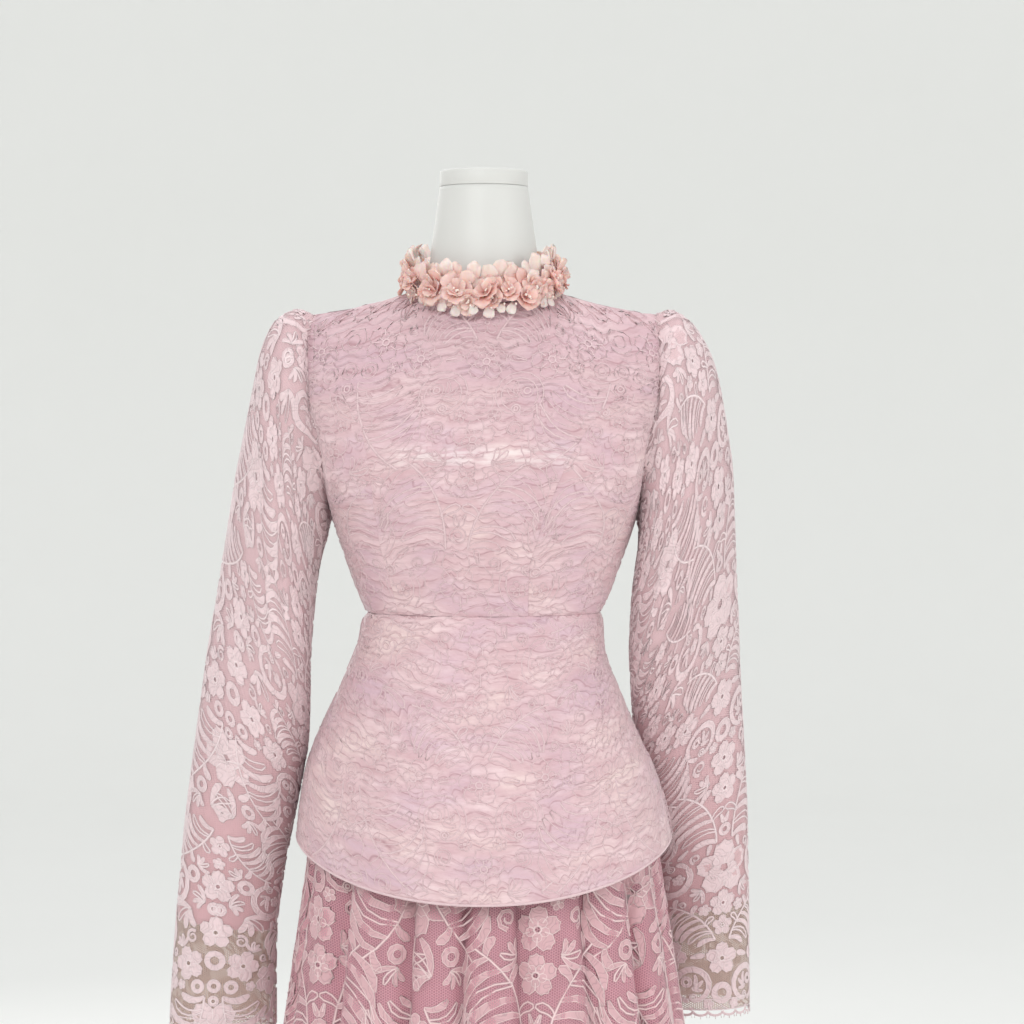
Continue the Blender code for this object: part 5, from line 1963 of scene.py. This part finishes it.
@dataclass
class Skirt:
    """The gathered lace skirt, its satin lining and its waistband."""

    rows: int = 104
    fold_steps: int = 14
    lining_rows: int = 56
    lining_steps: int = 7
    dip: float = 0.0095
    ripple: float = 0.0012
    full_fold: float = 0.012
    crease_reach: float = 0.10
    hem_pitch: float = 0.021
    hem_rise: float = 5.5
    lining_wall: float = 0.0009
    band_wall: float = 0.0018
    lace_scale: float = 1.45
    lace_start: float = 0.11
    lace_side: float = 0.06

    def ring(self, position: float, share: float, drop: float, first: int, last: int,
             steps: int, hem_z: float) -> np.ndarray:
        """Points of a skirt row between two creases, over rounded folds.

        Args:
            position: place in the skirt's table.
            share: share of the folds' swell that the layer follows.
            drop: how far the layer lies inside.
            first: first crease.
            last: last crease.
            steps: points for each fold.
            hem_z: lowest height of the layer.

        Returns:
            The ring's points.
        """
        z, half, front, back, fold = smooth(np.array(SKIRT_ROWS), position)
        z = max(z, hem_z)
        below = max(0.0, CREASE_START_Z - z)
        ease = min(1.0, fold / self.full_fold)
        degrees, swells = [], []
        pairs = list(zip(CREASES[first:last], CREASES[first + 1:last + 1]))
        for order, (start, end) in enumerate(pairs):
            low, high = start.angle + start.slant * below, end.angle + end.slant * below
            size = min(1.0, (high - low) / WIDE_FOLD)
            count = steps + (order == len(pairs) - 1)
            along = np.arange(count) / steps
            lean = start.lean * 0.55
            skew = along + lean * np.sin(math.pi * along) ** 2 * along * (1 - along)
            swell = fold * share * size * np.sin(math.pi * along).clip(0) ** FOLD_CURVE
            trough = start.depth * np.exp(-(along / self.crease_reach) ** 2)
            trough += end.depth * np.exp(-((1 - along) / self.crease_reach) ** 2)
            ripple = self.ripple * ease * np.sin(2 * math.pi * (along * 3 + order * 0.37))
            ripple = ripple * np.sin(math.pi * along).clip(0)
            degrees.append(low + (high - low) * skew)
            swells.append(swell - self.dip * ease * trough + ripple * share)
        angles, grow = np.radians(np.concatenate(degrees)), np.concatenate(swells) - drop
        x, y = oval(angles, half + grow, front + grow, back + grow, SKIRT_FULLNESS)
        return np.column_stack([x, y, np.full(len(x), z)])

    def layer(self, first: int, last: int, rows: int, steps: int, share: float,
              lining: bool) -> Drape:
        """A panel of lace or of lining between two creases."""
        table = np.array(SKIRT_ROWS)
        fine = np.linspace(0.0, len(table) - 1, 400)
        heights = np.array([smooth(table, position)[0] for position in fine])
        wanted = np.linspace(heights[0], LINING_HEM_Z if lining else heights[-1], rows)
        positions = np.interp(-wanted, -heights, fine)
        grid = []
        for position in positions:
            drop = 0.0
            if lining:
                drop = LINING_INSET + LINING_DROP * min(1.0, position / LINING_DROP_ROWS)
            hem = LINING_HEM_Z if lining else 0.0
            grid.append(self.ring(position, share, drop, first, last, steps, hem))
        return Drape(np.array(grid))

    def hem_edging(self, drape: Drape) -> list[Strip]:
        """Scallops along the hem, in millimetres."""
        pattern = LacePattern(detail=0.8, cord=1.3)
        least, most = float(drape.across[-1, 0]) / MM, float(drape.across[-1, -1]) / MM
        count = round((most - least) * MM / self.hem_pitch)
        pitch = (most - least) / count
        base = float(drape.down[-1]) / MM
        strips = []
        for index in range(count):
            middle = least + (index + 0.5) * pitch
            strips += pattern.arch(middle, base - 2.0, 0.495 * pitch, self.hem_rise, 1.6, 7)
            strips += pattern.laid(Spot(Motif.RING, middle, 5.0 - base, 0.0, 3.2, False))
        heights = (10.0 - base, 13.0 - base)
        return strips + pattern.foot(least + 1, most - 1, heights, 3 * count)

    def build(self) -> None:
        """Build the lace, the lining and the waistband."""
        middle = len(CREASES) // 2
        spans = ((Face.FRONT, 0, middle), (Face.BACK, middle, len(CREASES) - 1))
        for face, first, last in spans:
            drape = self.layer(first, last, self.rows, self.fold_steps, 1.0, False)
            satin = self.layer(first, last, self.lining_rows, self.lining_steps, LINING_SHARE, True)
            name = f"skirt_lace_{face.value}"
            work = LaceWork(LacePattern(0.6, 1.2).strips(), OPEN_RELIEF, self.lace_scale)
            shifts = tiles(drape, self.lace_start, self.lace_side, self.lace_scale)
            lace = work.on(f"{name}_motifs", drape, shifts, False, SKIRT_THREAD)
            settle(lace, "lace")
            edge = LaceWork(self.hem_edging(drape), OPEN_RELIEF)
            trim = edge.on(f"{name}_edging", drape, [(0.0, 0.0)], False, SKIRT_THREAD, EDGING_REACH)
            settle(trim, "lace")
            layers = (
                (name, drape, SKIRT_NET, "lace", (lace, trim), 0.0),
                (f"skirt_lining_{face.value}", satin, SKIRT_SATIN, "satin", (), self.lining_wall),
            )
            for label, surface, finish, slot, extra, wall in layers:
                piece = settle(cloth(label, surface, finish, wall), slot, label)
                state_cut(surface, extra)
        self.waistband()

    def waistband(self) -> None:
        """Build the narrow satin band under the peplum."""
        top = SKIRT_ROWS[0]
        angles = np.linspace(-math.pi, math.pi, 121)
        shrink = LINING_INSET / 2
        grid = []
        for z in np.linspace(BAND_FOOT_Z, BAND_TOP_Z, 5):
            x, y = oval(angles, top.half - shrink, top.front - shrink, top.back - shrink, 2.0)
            grid.append(np.column_stack([x, y, np.full(len(x), z)]))
        drape = Drape(np.array(grid), True)
        band = cloth("skirt_waistband", drape, SKIRT_SATIN, self.band_wall)
        settle(band, "satin", "skirt_waistband")
        drape.size()


# ---- the stand -------------------------------------------------------------------------


@dataclass
class DressForm:
    """The smooth torso, its neck and cap, the pole and the round base."""

    inset: float = 0.0042
    chest_inset: float = 0.0085
    chest_row: float = 7.0
    shoulder_drop: float = 0.0045
    shoulder_row: float = 8.0
    columns: int = 40
    chest_rings: int = 45
    hip_rings: int = 40
    neck_rings: tuple = ((1.415, 0.0535), (1.452, 0.0484), (1.4838, 0.0440))
    cap_radius: float = 0.0440
    cap_foot_z: float = 1.4841
    cap_top_z: float = 1.5000
    pole_radius: float = 0.0140
    base_radius: float = 0.1700
    base_top_z: float = 0.0120
    hub_radius: float = 0.0300
    hub_top_z: float = 0.0450

    def torso(self) -> None:
        """Build the torso, the hips and the neck as one skin."""
        half = FRONT_ROWS[0].x_edge
        shares = np.linspace(-1.0, 1.0, 2 * self.columns + 1)
        rings = []
        level = np.linspace(0.0, TOP_ROW, self.chest_rings)
        for position in level:
            front = bodice_line(Face.FRONT, position, shares)
            back = bodice_line(Face.BACK, position, shares)
            rings.append(np.concatenate([front, back[::-1][1:-1]]))
        waist = rings[0]
        depth = np.where(waist[:, 1] <= 0, -FRONT_ROWS[0].y_centre, BACK_ROWS[0].y_centre)
        angles = np.arctan2(waist[:, 0] / half, -waist[:, 1] / depth)
        table = np.array(HIP_RINGS)
        hips = []
        for position in np.linspace(len(table) - 1, 0, self.hip_rings):
            z, wide, ahead, behind = smooth(table, position)
            x, y = oval(angles, wide, ahead, behind, 2.0)
            hips.append(np.column_stack([x, y, np.full(len(x), z)]))
        torso = np.array(rings)
        outward = torso - np.array([0.0, NECK_Y, 0.0])
        outward[..., 2] = 0.0
        outward /= np.linalg.norm(outward, axis=2, keepdims=True) + 1e-9
        chest = np.exp(-((level - self.chest_row) / 2.4) ** 4)
        depths = self.inset + (self.chest_inset - self.inset) * chest
        torso = torso - outward * depths[:, None, None]
        drop = np.clip((level - self.shoulder_row) / 3, 0, 1)
        torso[..., 2] -= self.shoulder_drop * drop[:, None]
        grid = np.concatenate([np.array(hips), torso])
        faces = lattice(*grid.shape[:2], True)
        skin = mesh_piece("dress_form", grid.reshape(-1, 3), faces, FORM_PLASTIC)
        outward_faces(skin)
        settle(skin, "form_white", "dress_form")
        self.turned("dress_form_neck", self.neck_profile(), FORM_PLASTIC, "form_white", ())

    def neck_profile(self) -> list[tuple[float, float]]:
        """Radius and height of the neck, from inside the collar up."""
        table = np.array(((1.352, 0.0560), (1.385, 0.0556)) + self.neck_rings)
        profile = [(float(r), float(z)) for z, r in
                   (smooth(table, p) for p in np.linspace(0.0, len(table) - 1, 24))]
        return profile + [(0.0425, self.neck_rings[-1][0] + 0.0002)]

    def turned(self, name: str, profile: list[tuple[float, float]], finish: Finish, slot: str,
               nodes: tuple[str, ...], steps: int = 96) -> None:
        """Build a piece turned about the middle.

        Args:
            name: name of the piece.
            profile: radius and height of each point.
            finish: its finish.
            slot: its material slot; not used.
            nodes: the CAD nodes it stands for.
            steps: number of points round it.
        """
        thing = mesh_piece(name, *revolved(profile, steps), finish)
        outward_faces(thing)
        settle(thing, slot, *nodes)

    def build(self) -> None:
        """Build the form and its stand."""
        self.torso()
        low, top, radius = self.cap_foot_z, self.cap_top_z, self.cap_radius
        self.turned("form_neck_cap", [
            (0.0001, low), (radius - 0.0010, low), (radius - 0.0002, low + 0.0002),
            (radius, low + 0.0010), (radius, top - 0.0022), (radius - 0.0005, top - 0.0008),
            (radius - 0.0020, top), (radius - 0.0060, top), (0.0001, top - 0.0006),
        ], FORM_PLASTIC, "form_white", ("form_neck_cap",))
        pole, hub = self.pole_radius, self.hub_top_z
        self.turned("form_pole", [
            (pole, hub + 0.0006), (pole, 0.40), (pole, 0.7774),
        ], STEEL, "pole_steel", ("form_pole",), 48)
        wide, rim = self.base_radius, self.base_top_z
        ring = self.hub_radius
        self.turned("form_base", [
            (0.0001, 0.0), (wide - 0.001, 0.0), (wide, 0.001), (wide, rim - 0.0035),
            (wide - 0.0009, rim - 0.0012), (wide - 0.003, rim), (ring + 0.010, rim + 0.0026),
            (ring + 0.003, rim + 0.0045), (ring, rim + 0.009), (ring, hub - 0.0035),
            (ring - 0.0010, hub - 0.0010), (ring - 0.0035, hub), (0.0001, hub),
        ], BASE_PAINT, "base_white", ("form_base",))


# ---- the studio ------------------------------------------------------------------------


class Lamp(NamedTuple):
    """One soft lamp: its place and what it is aimed at, its width and its power."""

    name: str
    place: tuple[float, float, float]
    aim: tuple[float, float, float]
    size: float
    power: float


LAMPS = (
    Lamp("key", (-0.9, -2.6, 2.7), (0.0, 0.0, 1.0), 1.6, 25.0),
    Lamp("fill", (2.4, -1.8, 1.5), (0.0, 0.0, 0.9), 2.0, 15.0),
    Lamp("top", (0.2, 0.6, 3.7), (0.0, 0.0, 1.0), 1.6, 13.0),
    Lamp("back", (-1.2, 2.8, 2.2), (0.0, 0.0, 1.0), 2.2, 15.0),
)


@dataclass(frozen=True)
class WallFinish(Finish):
    """Matt paint on the studio's floor and wall."""

    colour: Colour = (0.935, 0.94, 0.92)

    def make(self, nodes: Nodes) -> bpy.types.Material:
        """Build the material."""
        patch = nodes.noise(nodes.place(), 3.0, 2.0)
        colour = nodes.mix(patch, self.colour, shade(self.colour, 0.985))
        return nodes.finish(colour, Roughness=0.9)


@dataclass
class Studio:
    """Pale floor, soft light and the camera at the photograph's angle."""

    eye: tuple[float, float, float] = (0.028, -3.0, 1.24)
    target: tuple[float, float, float] = (0.028, 0.0, 1.16)
    lens: float = 105.5
    sensor: float = 36.0
    sky: Colour = (0.855, 0.86, 0.865)
    flat_radius: float = 7.0
    cove_radius: float = 2.0
    wall_top: float = 5.0
    floor_gap: float = 0.0005
    sides: int = 72

    def build(self) -> None:
        """Build the studio."""
        self.floor()
        self.light()
        self.camera()

    def floor(self) -> None:
        """Build the floor, which curves up into a wall all round."""
        flat, bend = self.flat_radius, self.cove_radius
        cove = [(flat + bend * math.sin(turn), bend - bend * math.cos(turn))
                for turn in np.linspace(0.0, math.pi / 2, 12)]
        profile = [(0.01, 0.0), (3.0, 0.0)] + cove + [(flat + bend, self.wall_top)]
        points, faces = revolved(profile, self.sides)
        points[:, 2] -= self.floor_gap
        mesh_piece("studio_floor", points, faces, WallFinish("studio_floor_paint"))

    def light(self) -> None:
        """Set up the lamps and the world."""
        for lamp in LAMPS:
            light = bpy.data.lights.new(f"studio_{lamp.name}", "AREA")
            light.size, light.energy = lamp.size, lamp.power
            thing = placed(light.name, light)
            thing.location = lamp.place
            thing.rotation_euler = aimed(lamp.place, lamp.aim)
        world = bpy.data.worlds.new("studio_world")
        world.use_nodes = True
        sky, strength = world.node_tree.nodes["Background"].inputs[:2]
        sky.default_value, strength.default_value = (*self.sky, 1.0), 1.0
        bpy.context.scene.world = world
        bpy.context.scene.view_settings.view_transform = "Standard"

    def camera(self) -> None:
        """Set up the camera."""
        camera = bpy.data.cameras.new("photo_camera")
        camera.sensor_width, camera.lens = self.sensor, self.lens
        thing = placed("photo_camera", camera)
        thing.location = self.eye
        thing.rotation_euler = aimed(self.eye, self.target)
        bpy.context.scene.camera = thing


def aimed(place: tuple, target: tuple) -> tuple[float, float, float]:
    """Turn of a camera or lamp that looks from one point at another."""
    x, y, z = (b - a for a, b in zip(place, target))
    flat = math.hypot(x, y)
    return (math.pi / 2 + math.atan2(z, flat), 0.0, math.atan2(-x, y))


def main() -> None:
    """Build the set, the stand and the studio."""
    logging.basicConfig(level=logging.INFO, format="%(name)s %(message)s")
    DressForm().build()
    Bodice().build()
    Collar().build()
    Peplum().build()
    Skirt().build()
    for side in Side:
        Sleeve(side).build()
    Studio().build()


if __name__ == "__main__":
    main()
